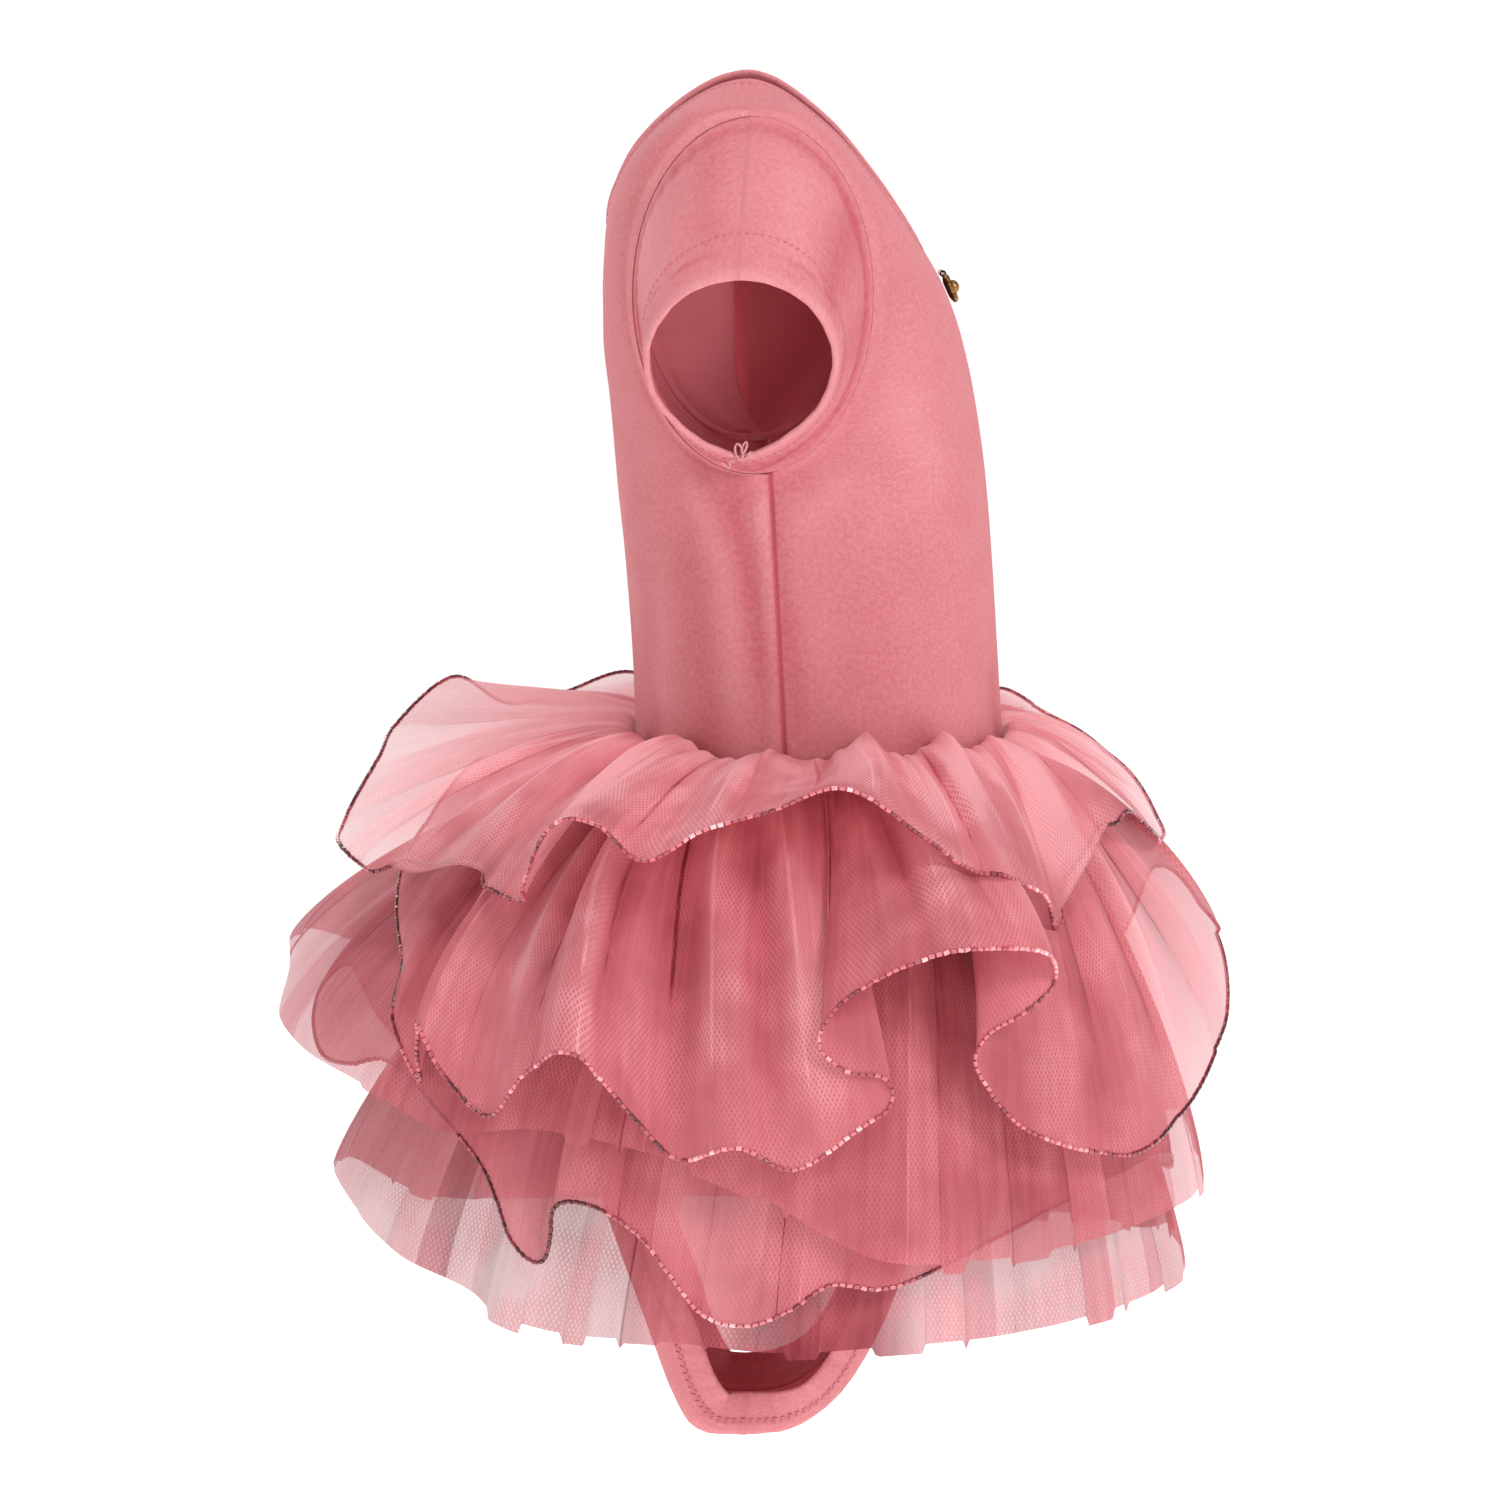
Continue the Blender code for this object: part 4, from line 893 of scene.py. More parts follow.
def sleeveRoot(angle):
    # the armhole's oval on the body, and the way out of it across the cloth
    body = leotard
    sin, cos = np.sin(angle), np.cos(angle)
    across = unit(np.stack([0 * angle, -sin / body["armholeDepth"], cos / body["armholeHeight"]], axis=1))
    y = body["armholeY"] - body["armholeDepth"] * sin
    z = body["armholeZ"] + body["armholeHeight"] * cos
    ahead = (y < sectionAt(4, z))[:, None]
    root = np.where(ahead, bodyPoint(turnFromY(y, z, True), z, True),
                    bodyPoint(turnFromY(y, z, False), z, False))
    root[:, 1] = y
    return root - across * sleeves["rootInset"] + (sleeves["rootOut"], 0, 0), across


def sleeveRows(rings, angle):
    # a smooth run from the root through the rings, with a puff of 4 * part * (1 - part) at
    # the cap, and two rows tucked under the armhole's edge
    look = sleeves
    root, across = sleeveRoot(angle)
    places = [0.0] + [row[0] for row in rings]
    curves = [root] + [sleeveRing(row) for row in rings]
    keys = []
    for part in np.linspace(0, 1, 5):
        after = max(1, int(np.searchsorted(places, part)))
        share = (part - places[after - 1]) / (places[after] - places[after - 1])
        puff = look["capPuff"] * 4 * part * (1 - part) * np.clip(np.cos(angle) + 0.3, 0, 1)
        keys.append(curves[after - 1] * (1 - share) + curves[after] * share
                    + puff[:, None] * look["puffWay"])
    rows = spline(np.array(keys).reshape(len(keys), -1), look["rowsBetween"]).reshape(-1, len(angle), 3)
    under = rows[0] + across * look["hidden"] - (look["tuck"] + 0.3, 0, 0)
    edge = rows[0] - (look["tuck"], 0, 0)
    rows = np.concatenate([under[None], edge[None], rows])
    normal = gridNormals(rows, ring=True)
    if np.mean(np.sum(normal[5] * (rows[5] - rows[5].mean(axis=0)), axis=1)) < 0:
        normal = -normal
    normal[:3] = unit(normal[3] * 0.7 + across * 0.3)
    return rows, normal


def sleeveRelief(angle, down, toHem, creases):
    # a hollow beside the armhole seam with small puckers, then the placed creases
    depth, place, wide = sleeves["hollow"]
    relief = -depth * np.exp(-((down - place) / wide) ** 2) * (0.55 + 0.45 * np.abs(np.sin(angle)))
    height, place, wide = sleeves["puckers"]
    pucker = np.sin(47 * angle + 2.2 * np.sin(5 * angle)) * np.clip(np.sin(-angle - 0.4) + 0.55, 0.12, 1)
    relief = relief + height * pucker * np.exp(-((down - place) / wide) ** 2)
    part = np.linspace(0, 1, len(down))[:, None]
    for place, middle, wide, long, height in creases:
        turn = turnApart(np.degrees(angle)[None, :], place)
        relief = relief + height * np.exp(-(turn / wide) ** 2 - ((part - middle) / long) ** 4)
    return relief * smoothStep(0.5, 9.0, toHem + 0.5) * smoothStep(-0.2, 2.5, down)


def makeSleeve(name, node, side):
    # outer skin, rounded hem, inner skin and rounded root, as one closed grid
    look = sleeves
    key = "right" if side < 0 else "left"
    angle = np.linspace(0, 2 * np.pi, look["around"], endpoint=False)
    rows, normal = sleeveRows(look[key], angle)
    steps = np.linalg.norm(np.diff(rows, axis=0), axis=2)
    down = np.concatenate([np.zeros((1, look["around"])), np.cumsum(steps, axis=0)])
    down = down - look["tuck"] - look["hidden"]
    toHem = down[-1:] - down
    relief = sleeveRelief(angle, down, toHem, look["creases"][key])
    doubled = 1 - smoothStep(look["hem"] - 0.8, look["hem"] + 0.8, toHem)
    wave = sum(height * np.sin(count * angle + phase) for height, count, phase in look["hemWaves"])
    outer = rows + normal * (relief + look["hemProud"] * doubled + wave * np.exp(-toHem / 5.0))[:, :, None]
    inner = outer - normal * (leotard["wall"] + look["hemThicker"] * doubled)[:, :, None]
    rimLow = roundRim(outer[-1], inner[-1], outer[-1] - outer[-2])
    rimHigh = roundRim(inner[0], outer[0], outer[0] - outer[1])
    flip = np.array((side, 1, 1))
    wall = np.concatenate([outer, rimLow, inner[::-1], rimHigh]) * flip
    u = np.broadcast_to(np.linspace(0, 1, look["around"]) * 200.0, down.shape)
    cloth = np.stack([u, down, 0 * down], axis=2)
    # painted shading: the crease relief, a painted highlight on the hem's rim and the rolled seam, and a
    # painted shade line where the turned hem ends
    shade = relief + 0.9 * np.exp(-(toHem / 2.6) ** 2) - 0.9 * np.exp(-((toHem - look["hem"]) / 0.5) ** 2)
    cloth, shade = (np.concatenate([row, row[[-1] * 3], row[::-1], row[[0] * 3]]) for row in (cloth, shade))
    within = np.zeros(shade.shape)
    within[len(rows) + 3:] = leotard["insideShade"]
    values = {"cloth": cloth.reshape(-1, 3), "creaseShading": shade.ravel(), "inside": within.ravel()}
    obj = putMesh(name, wall, gridFaces(*wall.shape[:2], True, True), values)
    return finishPiece(obj, jersey, node), outer * flip, normal * flip, toHem


sleeveRight, rightGrid, rightNormal, rightToHem = makeSleeve("sleeveRight", "sleeve_right", -1)
sleeveLeft, leftGrid, leftNormal, leftToHem = makeSleeve("sleeveLeft", "sleeve_left", 1)
print("sleeves ready")


# neck binding and leg bands

def meanEnds(front, back):
    # two runs of points joined, with the mean of the ends that meet
    return np.concatenate([front[:-1], (front[-1:] + back[:1]) / 2, back[1:]])


def neckLoop():
    # edge, normal and a point inside the panel, all round the neckline
    rows = slice(0, leotard["neckRows"] + 1)
    parts = []
    for values, column in ((0, 0), (1, 0), (0, 1)):
        half = meanEnds(frontHalf[values][rows, column][::-1], backHalf[values][rows, column])
        parts.append(np.concatenate([half, half[-2:0:-1] * (-1, 1, 1)]))
    return parts


def legLoop(side):
    # the same round one leg seam
    top = rowsAbove("legRows")
    parts = []
    for values, column in ((0, -1), (1, -1), (0, -2)):
        run = meanEnds(frontHalf[values][top:, column], backHalf[values][top:, column][::-1])
        run[0] = (run[0] + run[-1]) / 2
        parts.append(run[:-1] * (side, 1, 1))
    parts[2][0] = frontHalf[0][top - 1, -1] * (side, 1, 1)
    return parts


bands = {
    "neckBand": {"node": "neck_band", "width": 3.6, "fall": 0.0, "overlap": 0.9, "thick": 2.3,
                 "proud": 0.55, "around": 12, "flat": 1.0},
    # the elastic draws the leg bands 3 mm in at their free edge and puckers them
    "legBandRight": {"node": "leg_band_right", "width": 13.0, "fall": -3.0, "overlap": 0.8, "thick": 2.0,
                     "proud": 0.25, "around": 28, "flat": 0.42},
    "pucker": (0.22, 5.6),      # height and spacing
    "stitchLine": (1.1, 3.2, 0.9),      # darkness, place across the band and half width
}
bands["legBandLeft"] = {**bands["legBandRight"], "node": "leg_band_left"}


def bandFrame(loop):
    # smoothed edge line with its normal and the way out past the edge
    edge, normal, inside = loop
    edge = (np.roll(edge, 1, 0) + edge * 2 + np.roll(edge, -1, 0)) / 4
    tangent = np.roll(edge, -1, axis=0) - np.roll(edge, 1, axis=0)
    outward = unit(np.cross(tangent, normal))
    outward *= np.sign(np.sum(outward * (edge - inside), axis=1))[:, None]
    return edge, unit(normal), outward


def makeBand(name, loop):
    # superellipse section carried along the edge: sign(cos) * |cos|^flat across the band and
    # sign(sin) * |sin|^flat through it
    look = bands[name]
    width, overlap, thick, flat = (look[key] for key in ("width", "overlap", "thick", "flat"))
    edge, normal, outward = bandFrame(loop)
    angle = np.linspace(0, 2 * np.pi, look["around"], endpoint=False)[:, None, None]
    cos, sin = np.cos(angle), np.sin(angle)
    s = (width - overlap) / 2 + (width + overlap) / 2 * np.sign(cos) * np.abs(cos) ** flat
    n = look["proud"] - thick / 2 + thick / 2 * np.sign(sin) * np.abs(sin) ** flat
    shade = np.zeros((look["around"], len(edge)))
    if look["fall"]:
        height, apart = bands["pucker"]
        strength, place, wide = bands["stitchLine"]
        along = lengthAlong(edge)[None, :, None]
        pull = height * np.sin(along / apart * 2 * np.pi + np.sin(along / 19.0)) * (s / width) * (sin > 0)
        n = n + pull
        # painted light on the puckers' rises and painted shade in their hollows, and a darker stitch line
        shade = 1.6 * pull[:, :, 0] - strength * np.exp(-((s[:, :, 0] - place) / wide) ** 2)
    grid = edge + outward * s + normal * (n + look["fall"] * (s / width) ** 2)
    u = np.broadcast_to(lengthAlong(edge)[None, :], grid.shape[:2])
    v = np.broadcast_to(s[:, :, 0], grid.shape[:2])
    cloth = np.stack([u, v, 0 * u], axis=2)
    values = {"cloth": cloth.reshape(-1, 3), "creaseShading": shade.ravel()}
    obj = putMesh(name, grid, gridFaces(*grid.shape[:2], True, True), values)
    return finishPiece(obj, jersey, look["node"])


neckBand = makeBand("neckBand", neckLoop())
legBandRight = makeBand("legBandRight", legLoop(-1))
legBandLeft = makeBand("legBandLeft", legLoop(1))
print("bands ready")


# the skirt: five tiers of tulle, one surface each at the middle of the solid

skirt = {
    "axisY": -25.0, "waistZ": -237.0, "pitch": 2.6, "solidWall": 1.1,
    "columns": 720, "levels": 44, "levelPower": 1.15, "clearOfBody": 0.6, "plainPleats": 36,
    # cosines round the waist: share, number, wobble and its number
    "gathers": [(1.0, 71, 1.3, 5), (0.8, 53, 2.0, 3), (0.6, 97, 1.1, 7)],
    "gatherHeight": 0.85, "gatherShade": 0.11, "gatherLayers": 0.3,
    "frillLoft": 0.7,                       # how far the frill stands off the tier below
    "foldShade": 0.075, "pleatShade": 0.085,
    "layersPower": 1.45,                    # how fast the layers thin out on the way down
    # share of a plain tier's half pleats whose hems lie even, then how far the others drop at
    # least and how much further at most
    "evenShare": 0.62, "lowest": (1.5, 2.4),
    "underShade": (0.16, 0.35, 0.8),        # darkness under the tier above, and where it fades
    # turn and half width: where the top tier's hem lies turned under, and where the pleats
    # of the bottom tier lie doubled, with their layers and a painted shade for the dark leg opening behind;
    # turnedDepths are rows of the grid from the hem and how far under the third row they lie
    "turnedUnder": [(210, 13), (323, 11)], "turnedDepths": [(-2, 1.2), (-1, 1.7)],
    "doubled": (269, 11), "doubledLayers": 3.0, "legOpeningShade": 0.3,
    # turn in degrees, reach, drop of each hem
    "topTier": [
        (2, 121, 34), (14, 126, 30), (34, 127, 10), (49, 133, 1), (61, 138, -8), (70, 152, 6),
        (79, 168, 12), (88, 176, 2), (97, 170, -6), (106, 164, 4), (116, 156, -12), (127, 155, -6),
        (136, 158, -4), (147, 158, -15), (158, 164, -2), (168, 161, 8), (178, 168, 25),
        (188, 170, 32), (203, 160, 40), (217, 156, 34), (230, 161, 38), (234, 172, 30),
        (240, 181, 8), (246, 184, 7), (251, 184, 18), (257, 177, 8), (264, 171, 2),
        (272, 175, -6), (281, 168, 10), (288, 154, 24), (295, 147, 29), (304, 135, 38),
        (311, 124, 52), (322, 117, 38), (337, 115, 18), (350, 119, 28),
    ],
    "middleTier": [
        (8, 144, 68), (26, 138, 50), (40, 148, 78), (52, 158, 108), (63, 154, 84), (71, 168, 62),
        (80, 182, 80), (88, 178, 112), (96, 182, 92), (104, 190, 62), (113, 182, 70),
        (122, 176, 98), (133, 170, 78), (142, 160, 40), (150, 140, 12), (167, 140, 24),
        (184, 148, 42), (199, 156, 58), (207, 163, 68), (212, 174, 84), (217, 172, 104),
        (222, 186, 80), (227, 188, 96), (233, 187, 108), (239, 192, 90), (245, 196, 83),
        (250, 182, 106), (254, 174, 120), (261, 182, 114), (267, 181, 121), (274, 180, 107),
        # here the hem doubles back on itself twice
        (277, 180, 100), (276.6, 178, 91), (272.5, 175, 89), (269.4, 172.5, 81), (270, 172.5, 73),
        (273, 176, 63), (280.5, 184, 50), (288, 180, 48), (296, 171, 52), (299, 162, 63),
        (295, 161.5, 73), (290.4, 160, 80), (288.8, 160, 89), (290.6, 160, 99), (295, 158, 112),
        (301, 157, 120), (308, 155, 125), (316, 152.5, 127), (331, 147, 115), (352, 145, 90),
    ],
    "spareTier": [
        (4, 135, 146), (20, 139, 138), (38, 142, 148), (56, 152, 142), (74, 164, 150),
        (90, 167, 140), (108, 170, 132), (124, 172, 124), (140, 176, 104), (152, 186, 84),
        (165, 195, 72), (176, 190, 82), (186, 192, 93), (196, 187, 101), (207, 180, 107),
        (220, 170, 120), (235, 168, 115), (250, 164, 121), (262, 166, 132), (270, 165, 146),
        (278, 165, 156), (290, 157, 158), (305, 150, 157), (320, 146, 154), (340, 141, 151),
    ],
    "lowerTier": [
        (0, 126, 150), (18, 130, 156), (36, 136, 154), (54, 144, 164), (70, 150, 160),
        (84, 157, 172), (98, 160, 158), (112, 162, 164), (126, 163, 146), (140, 164, 144),
        (154, 165, 120), (166, 165, 100), (175, 168, 80), (182, 176, 83), (187, 180, 93),
        (194, 180, 103), (202, 177, 103), (208, 170, 100), (216, 166, 112), (225, 165, 130),
        (231, 168, 154), (235, 166, 160), (237, 167, 141), (242, 167, 139), (248, 166, 148),
        (252, 168, 160), (256, 166, 174), (261, 166, 177), (266, 164, 172), (271, 160, 164),
        (278, 156, 166), (288, 150, 158), (302, 143, 146), (320, 135, 138), (340, 128, 138),
    ],
    "bottomTier": [
        (4, 127, 172), (22, 127, 181), (42, 134, 184), (64, 146, 188), (86, 151, 188),
        (108, 157, 187), (130, 160, 183), (150, 164, 175), (168, 170, 154), (182, 170, 147),
        (196, 177, 145), (211, 174, 164), (222, 163, 175), (228, 168, 180), (237, 163, 185),
        (250, 161, 185), (264, 152, 189), (279, 152, 187), (295, 144, 187), (312, 142, 184),
        (328, 139, 181), (340, 137, 177), (352, 126, 171),
    ],
    # the top tier's frill above the waist seam: turn, height in mm above its dips, half width
    "frill": 5.6,
    "puffs": [(236, 8.0, 7), (259, 4.6, 4.5), (280, 10.0, 5), (301, 8.6, 6), (323, 4.6, 7), (345, 5.0, 8),
              (8, 3.6, 7), (29, 5.6, 8), (52, 4.8, 7), (74, 6.2, 6), (95, 4.4, 6), (118, 6.0, 8),
              (140, 4.4, 7), (163, 5.4, 9), (190, 4.6, 8), (213, 5.4, 7)],
}

# folds that run from the waist to the hem of each beaded tier: turn at the hem in degrees
# and height in mm; the tiers without beads have narrow pleats all round instead
foldTables = {
    "tulle_tier_1_beaded": [
        (6, 2.6), (27, 3.4), (46, 2.2), (66, 3.6), (84, 2.6), (103, 3.2), (124, 2.2), (147, 3.4),
        (170, 2.6), (190, 3.0), (201, 2.0), (214, 3.8), (228, 2.4), (237, 3.8), (243, 2.0), (256, 3.6),
        (262, 1.8), (275, 4.0), (288, 2.4), (293, 3.6), (306, 2.6), (323, 3.6), (338, 2.2), (349, 3.0)],
    "tulle_tier_2_beaded": [
        (8, 4.3), (22, 3.0), (38, 4.9), (57, 3.5), (74, 4.9), (84, 3.0), (103, 4.9), (122, 3.5), (140, 4.6),
        (163, 3.2), (182, 4.6), (204, 3.2), (219, 5.7), (224, 3.2), (236, 6.6), (245, 7.4), (249, 3.0),
        (258, 6.8), (269, 7.4), (277, 3.6), (284, 6.8), (299, 1.6), (305, 3.0), (319, 4.4), (330, 6.0),
        (350, 3.8)],
    "tulle_tier_4_beaded": [
        (10, 3.6), (36, 2.9), (55, 3.9), (80, 3.1), (97, 3.9), (120, 2.9), (141, 3.9), (168, 3.1), (190, 3.6),
        (210, 2.9), (221, 4.2), (232, 2.9), (238, 4.4), (250, 3.4), (262, 4.7), (267, 2.9), (281, 4.2),
        (298, 3.1), (306, 4.2), (327, 3.1), (344, 3.9)],
}

# hem table, bow outwards, lateness of the fall, frill, pleat height (0 where the folds come
# from the table), layers of net at the waist and hem, tone: a painted brightness, lightest on the top tier
# and darker on the lower ones
tiers = [
    {"name": "tierTop", "node": "tulle_tier_1_beaded", "hem": "topTier", "bow": 1.15, "late": 1.5,
     "frill": 1.0, "pleat": 0.0, "layers": (5.6, 1.25), "tone": 0.84},
    {"name": "tierMiddle", "node": "tulle_tier_2_beaded", "hem": "middleTier", "bow": 1.3, "late": 1.35,
     "frill": 0.25, "pleat": 0.0, "layers": (5.8, 1.6), "tone": 0.58},
    {"name": "tierSpare", "node": "tulle_tier_3_plain", "hem": "spareTier", "bow": 1.3, "late": 1.25,
     "frill": 0.0, "pleat": 1.5, "layers": (5.4, 1.8), "tone": 0.48},
    {"name": "tierLower", "node": "tulle_tier_4_beaded", "hem": "lowerTier", "bow": 1.35, "late": 1.2,
     "frill": 0.0, "pleat": 0.0, "layers": (6.0, 2.4), "tone": 0.48},
    {"name": "tierBottom", "node": "tulle_tier_5_plain", "hem": "bottomTier", "bow": 1.2, "late": 1.05,
     "frill": 0.0, "pleat": 2.8, "layers": (5.6, 2.0), "tone": 0.36},
]


def waistReach(turn, z):
    # how far the leotard stands from the skirt's axis at a height
    line = []
    for grid, order in ((frontHalf[0], 1), (backHalf[0], -1)):
        rows = grid[leotard["neckRows"]:]
        heights = -rows[:, :, 2].mean(axis=1)
        after = np.searchsorted(heights, -z)
        part = (-z - heights[after - 1]) / (heights[after] - heights[after - 1])
        line.append((rows[after - 1] * (1 - part) + rows[after] * part)[::order])
    line = np.concatenate(line)
    angle = np.arctan2(line[:, 0], skirt["axisY"] - line[:, 1])
    reach = np.hypot(line[:, 0], skirt["axisY"] - line[:, 1])
    folded = np.abs((np.asarray(turn) + np.pi) % (2 * np.pi) - np.pi)
    return np.interp(folded, angle, reach)


def hemLine(table, columns):
    # turn, reach and drop at even steps of length along a tier's hem
    rows = np.array(table, float)
    wrapped = np.concatenate([rows[-2:] - (360, 0, 0), rows, rows[:3] + (360, 0, 0)])
    curve = spline(wrapped, 28)[2 * 28:(2 + len(rows)) * 28 + 1]
    curve[:, 0] = np.radians(curve[:, 0])
    track = np.stack([curve[:, 1] * np.sin(curve[:, 0]), curve[:, 1] * np.cos(curve[:, 0]),
                      curve[:, 2]], axis=1)
    return evenSteps(curve, track, columns + 1)[:-1]


def scatter(order, seed):
    # even looking but unordered numbers from 0 to 1: the fraction of a large sine
    return np.modf(np.abs(np.sin(order * 12.9898 + seed * 78.233)) * 43758.5453)[0]


def pleatLayout(turn, table, pleatHeight, seed):
    # columns of the crests with their heights, and the columns of the valleys between them
    count = len(turn)
    if pleatHeight:
        order = np.arange(skirt["plainPleats"])
        crests = (order + 0.5 + 0.5 * (scatter(order, seed) - 0.5)) * count / len(order)
        heights = pleatHeight * (0.55 + 0.6 * scatter(order, seed + 3))
    else:
        rows = np.array(table, float)
        apart = np.abs(turnApart(np.degrees(turn)[:, None], rows[None, :, 0]))
        crests, heights = np.argmin(apart, axis=0).astype(float), rows[:, 1]
    first = np.argsort(crests)
    crests, heights = np.round(crests[first]), heights[first]
    part = 0.35 + 0.3 * scatter(np.arange(len(crests) - 1), seed + 9)
    valleys = np.round(crests[:-1] + (crests[1:] - crests[:-1]) * part)
    return crests, np.concatenate([[0], valleys, [count]]), heights


def pleatField(layout, count, part, seed):
    # pleats drift a little sideways on their way down; number of the pleat (whole at a
    # valley, and a half more at its crest), height as the 1.5th power of a sine from valley
    # to crest, and columns to the nearest fold line
    crests, valleys, heights = layout
    order = np.arange(count + 1, dtype=float)[None, :]
    ends = np.clip(np.minimum(order, count - order) / 20, 0, 1)
    order = order + 6.0 * np.sin(2.6 * part + 2.2 * np.sin(order / 41 + seed)) * (1 - part) * ends
    knots = np.sort(np.concatenate([crests, valleys]))
    number = np.interp(order, knots, np.arange(len(knots)) / 2)
    own = np.clip(np.floor(number - 1e-9).astype(int), 0, len(heights) - 1)
    rise = 1 - np.abs((number - own) * 2 - 1)
    height = heights[own] * np.sin(np.pi / 2 * rise) ** 1.5
    away = np.min(np.abs(order[:, :, None] - knots), axis=2)
    return number, height - height.mean(axis=1, keepdims=True), away, own


def hangTier(index, tier, turn, hemReach, hemDrop, part, step):
    # from the waist out to the hem: reach grows as 1 - (1 - part)^bow and the drop as
    # part^late; a frill rises over the waist seam as sin(pi * part^0.34)
    look = skirt
    around = 2 * np.pi * np.arange(len(turn)) / look["columns"]
    waistTurn = 0.5 * turn + 0.5 * (turn[0] + around)
    stack = index * look["pitch"]
    start = waistReach(waistTurn, look["waistZ"] - stack) + look["clearOfBody"]
    rows = np.array(look["puffs"], float)
    apart = turnApart(np.degrees(waistTurn)[:, None], rows[None, :, 0])
    puffs = np.sum(rows[:, 1] * np.exp(-(np.abs(apart) / rows[:, 2]) ** 1.5), axis=1)
    puff = tier["frill"] * (look["frill"] + puffs)
    reach = start + (hemReach - start) * (1 - (1 - part) ** tier["bow"])
    drop = (stack + (hemDrop - stack) * part ** tier["late"] - puff * np.sin(np.pi * part ** 0.34)
            + step * part ** 3)
    side = waistTurn + (turn - waistTurn) * part ** 0.8
    outer = np.stack([reach * np.sin(side), look["axisY"] - reach * np.cos(side),
                      look["waistZ"] - drop], axis=2)
    normal = gridNormals(outer)
    return outer, -normal if np.mean(normal[:, :, 2]) < 0 else normal


def foldUnder(middle, normal, turn):
    # the last two rows folded back under the third, fading out at the ends of each span
    rows = np.array(skirt["turnedUnder"], float)
    apart = np.abs(turnApart(np.degrees(turn)[:, None], rows[:, 0]))
    share = np.max(1 - smoothStep(rows[:, 1] - 4, rows[:, 1], apart), axis=1)[:, None]
    for row, under in skirt["turnedDepths"]:
        back = 2 * middle[-3] - middle[row] - normal[-3] * under
        middle[row] = middle[row] * (1 - share) + back * share


def gatherWaves(index, around):
    # three unlike waves round the waist: share * cos(number * turn + wobble * sin(slow * turn)),
    # shifted for each tier, over the sum of the shares
    inner, after = (index, 2 * index, 0), (0, 1.0, 0.5 * index)
    waves = [share * np.cos(many * around + wobble * np.sin(slow * around + first) + second)
             for (share, many, wobble, slow), first, second in zip(skirt["gathers"], inner, after)]
    return sum(waves) / sum(row[0] for row in skirt["gathers"])


def tierCover(index, tier, turn, part, gather, pleats):
    # tone and layers of net at each point: both follow the gathers and the pleats, the tone as
    # painted light on their rises and painted shade in their hollows, and the layers thin out as (1 -
    # part)^layersPower
    look = skirt
    # the top of every tier but the first lies in the shade of the one above
    paintedDark, fadeFrom, fadeTo = look["underShade"]
    shade = tier["tone"] - paintedDark * (1 - tier["frill"]) * (1 - smoothStep(fadeFrom, fadeTo, part))
    shade = shade + look["gatherShade"] * gather
    shade = shade + look["pleatShade" if tier["pleat"] else "foldShade"] * pleats
    layersTop, layersHem = tier["layers"]
    layers = layersHem + (layersTop - layersHem) * (1 - part) ** look["layersPower"]
    layers = layers + look["gatherLayers"] * gather
    if index == len(tiers) - 1:
        # pleats doubled over each other in front of the right leg, with painted shade that stands for the
        # dark inside of the leg opening behind them
        place, wide = look["doubled"]
        share = np.exp(-(turnApart(np.degrees(turn), place) / wide) ** 4) * part ** 2
        layers = layers + look["doubledLayers"] * share
        shade = shade - look["legOpeningShade"] * share
    return shade, layers


def makeTier(index, tier):
    # hung from the waist, then lifted along its normals by the gathers, which melt together
    # on the way down, and by the pleats, which are strongest midway and run out before the
    # hem, some sooner than others
    look = skirt
    count, frill, pleat = look["columns"], tier["frill"], tier["pleat"]
    line = hemLine(look[tier["hem"]], count)
    turn, hemReach, hemDrop = np.concatenate([line, line[:1] + (2 * np.pi, 0, 0)]).T
    around = 2 * np.pi * np.arange(count + 1) / count
    part = np.linspace(0, 1, look["levels"] + 1)[:, None] ** look["levelPower"]
    layout = pleatLayout(turn[:-1], foldTables.get(tier["node"], []), pleat, index + 1.0)
    number, height, away, own = pleatField(layout, count, part, index + 1.0)
    # a few half pleats of a plain tier are folded under a little lower than the rest
    step = 0 * around
    if pleat:
        least, more = look["lowest"]
        under = (number[-1] % 1 < 0.5) & (scatter(own[-1], index + 4.0) > look["evenShare"])
        step = np.where(under, least + more * scatter(own[-1], index + 7.0), 0.0)
    outer, normal = hangTier(index, tier, turn, hemReach, hemDrop, part, step)
    gather = gatherWaves(index, around) * smoothStep(0.0, 0.05, part) * (1 - smoothStep(0.12, 0.6, part))
    fall = np.minimum((0.3 if pleat else 0.6) + 0.5 * scatter(own, index + 5.0), 1)
    body = smoothStep(0.03, 0.35, part) * (1 - fall * smoothStep(0.5, 1.0, part))
    lift = look["gatherHeight"] * gather + height * body + look["frillLoft"] * frill * body
    middle = outer + normal * (lift - look["solidWall"] / 2)[:, :, None]
    middle[:, -1] = middle[:, 0]
    if frill == 1:
        foldUnder(middle, normal, turn)
    shade, layers = tierCover(index, tier, turn, part, gather, height * body)
    down = np.cumsum(np.concatenate([np.zeros((1, count + 1)),
                                     np.linalg.norm(np.diff(middle, axis=0), axis=2)]), axis=0)
    spacing = np.linalg.norm(np.diff(middle, axis=1), axis=2).mean(axis=1)[:, None]
    cloth = np.stack([lengthAlong(middle[-1]) + 0 * down, down, number + 0 * down], axis=2)
    values = {"cloth": cloth.reshape(-1, 3), "foldShading": shade.ravel(), "layers": layers.ravel(),
              "edge": (away * spacing / (0.3 + 0.7 * body)).ravel(), "pleated": (0.25 + 0.75 * body).ravel()}
    obj = putMesh(tier["name"], middle, gridFaces(*middle.shape[:2], False), values, closed=False)
    finishPiece(obj, plainTulle if pleat else wavyTulle, tier["node"])
    return obj, middle[:, :-1], normal[:, :-1]


tierPieces = [makeTier(index, tier) for index, tier in enumerate(tiers)]
print("tulle ready")


# beads, stitches and threads: joined meshes from arrays

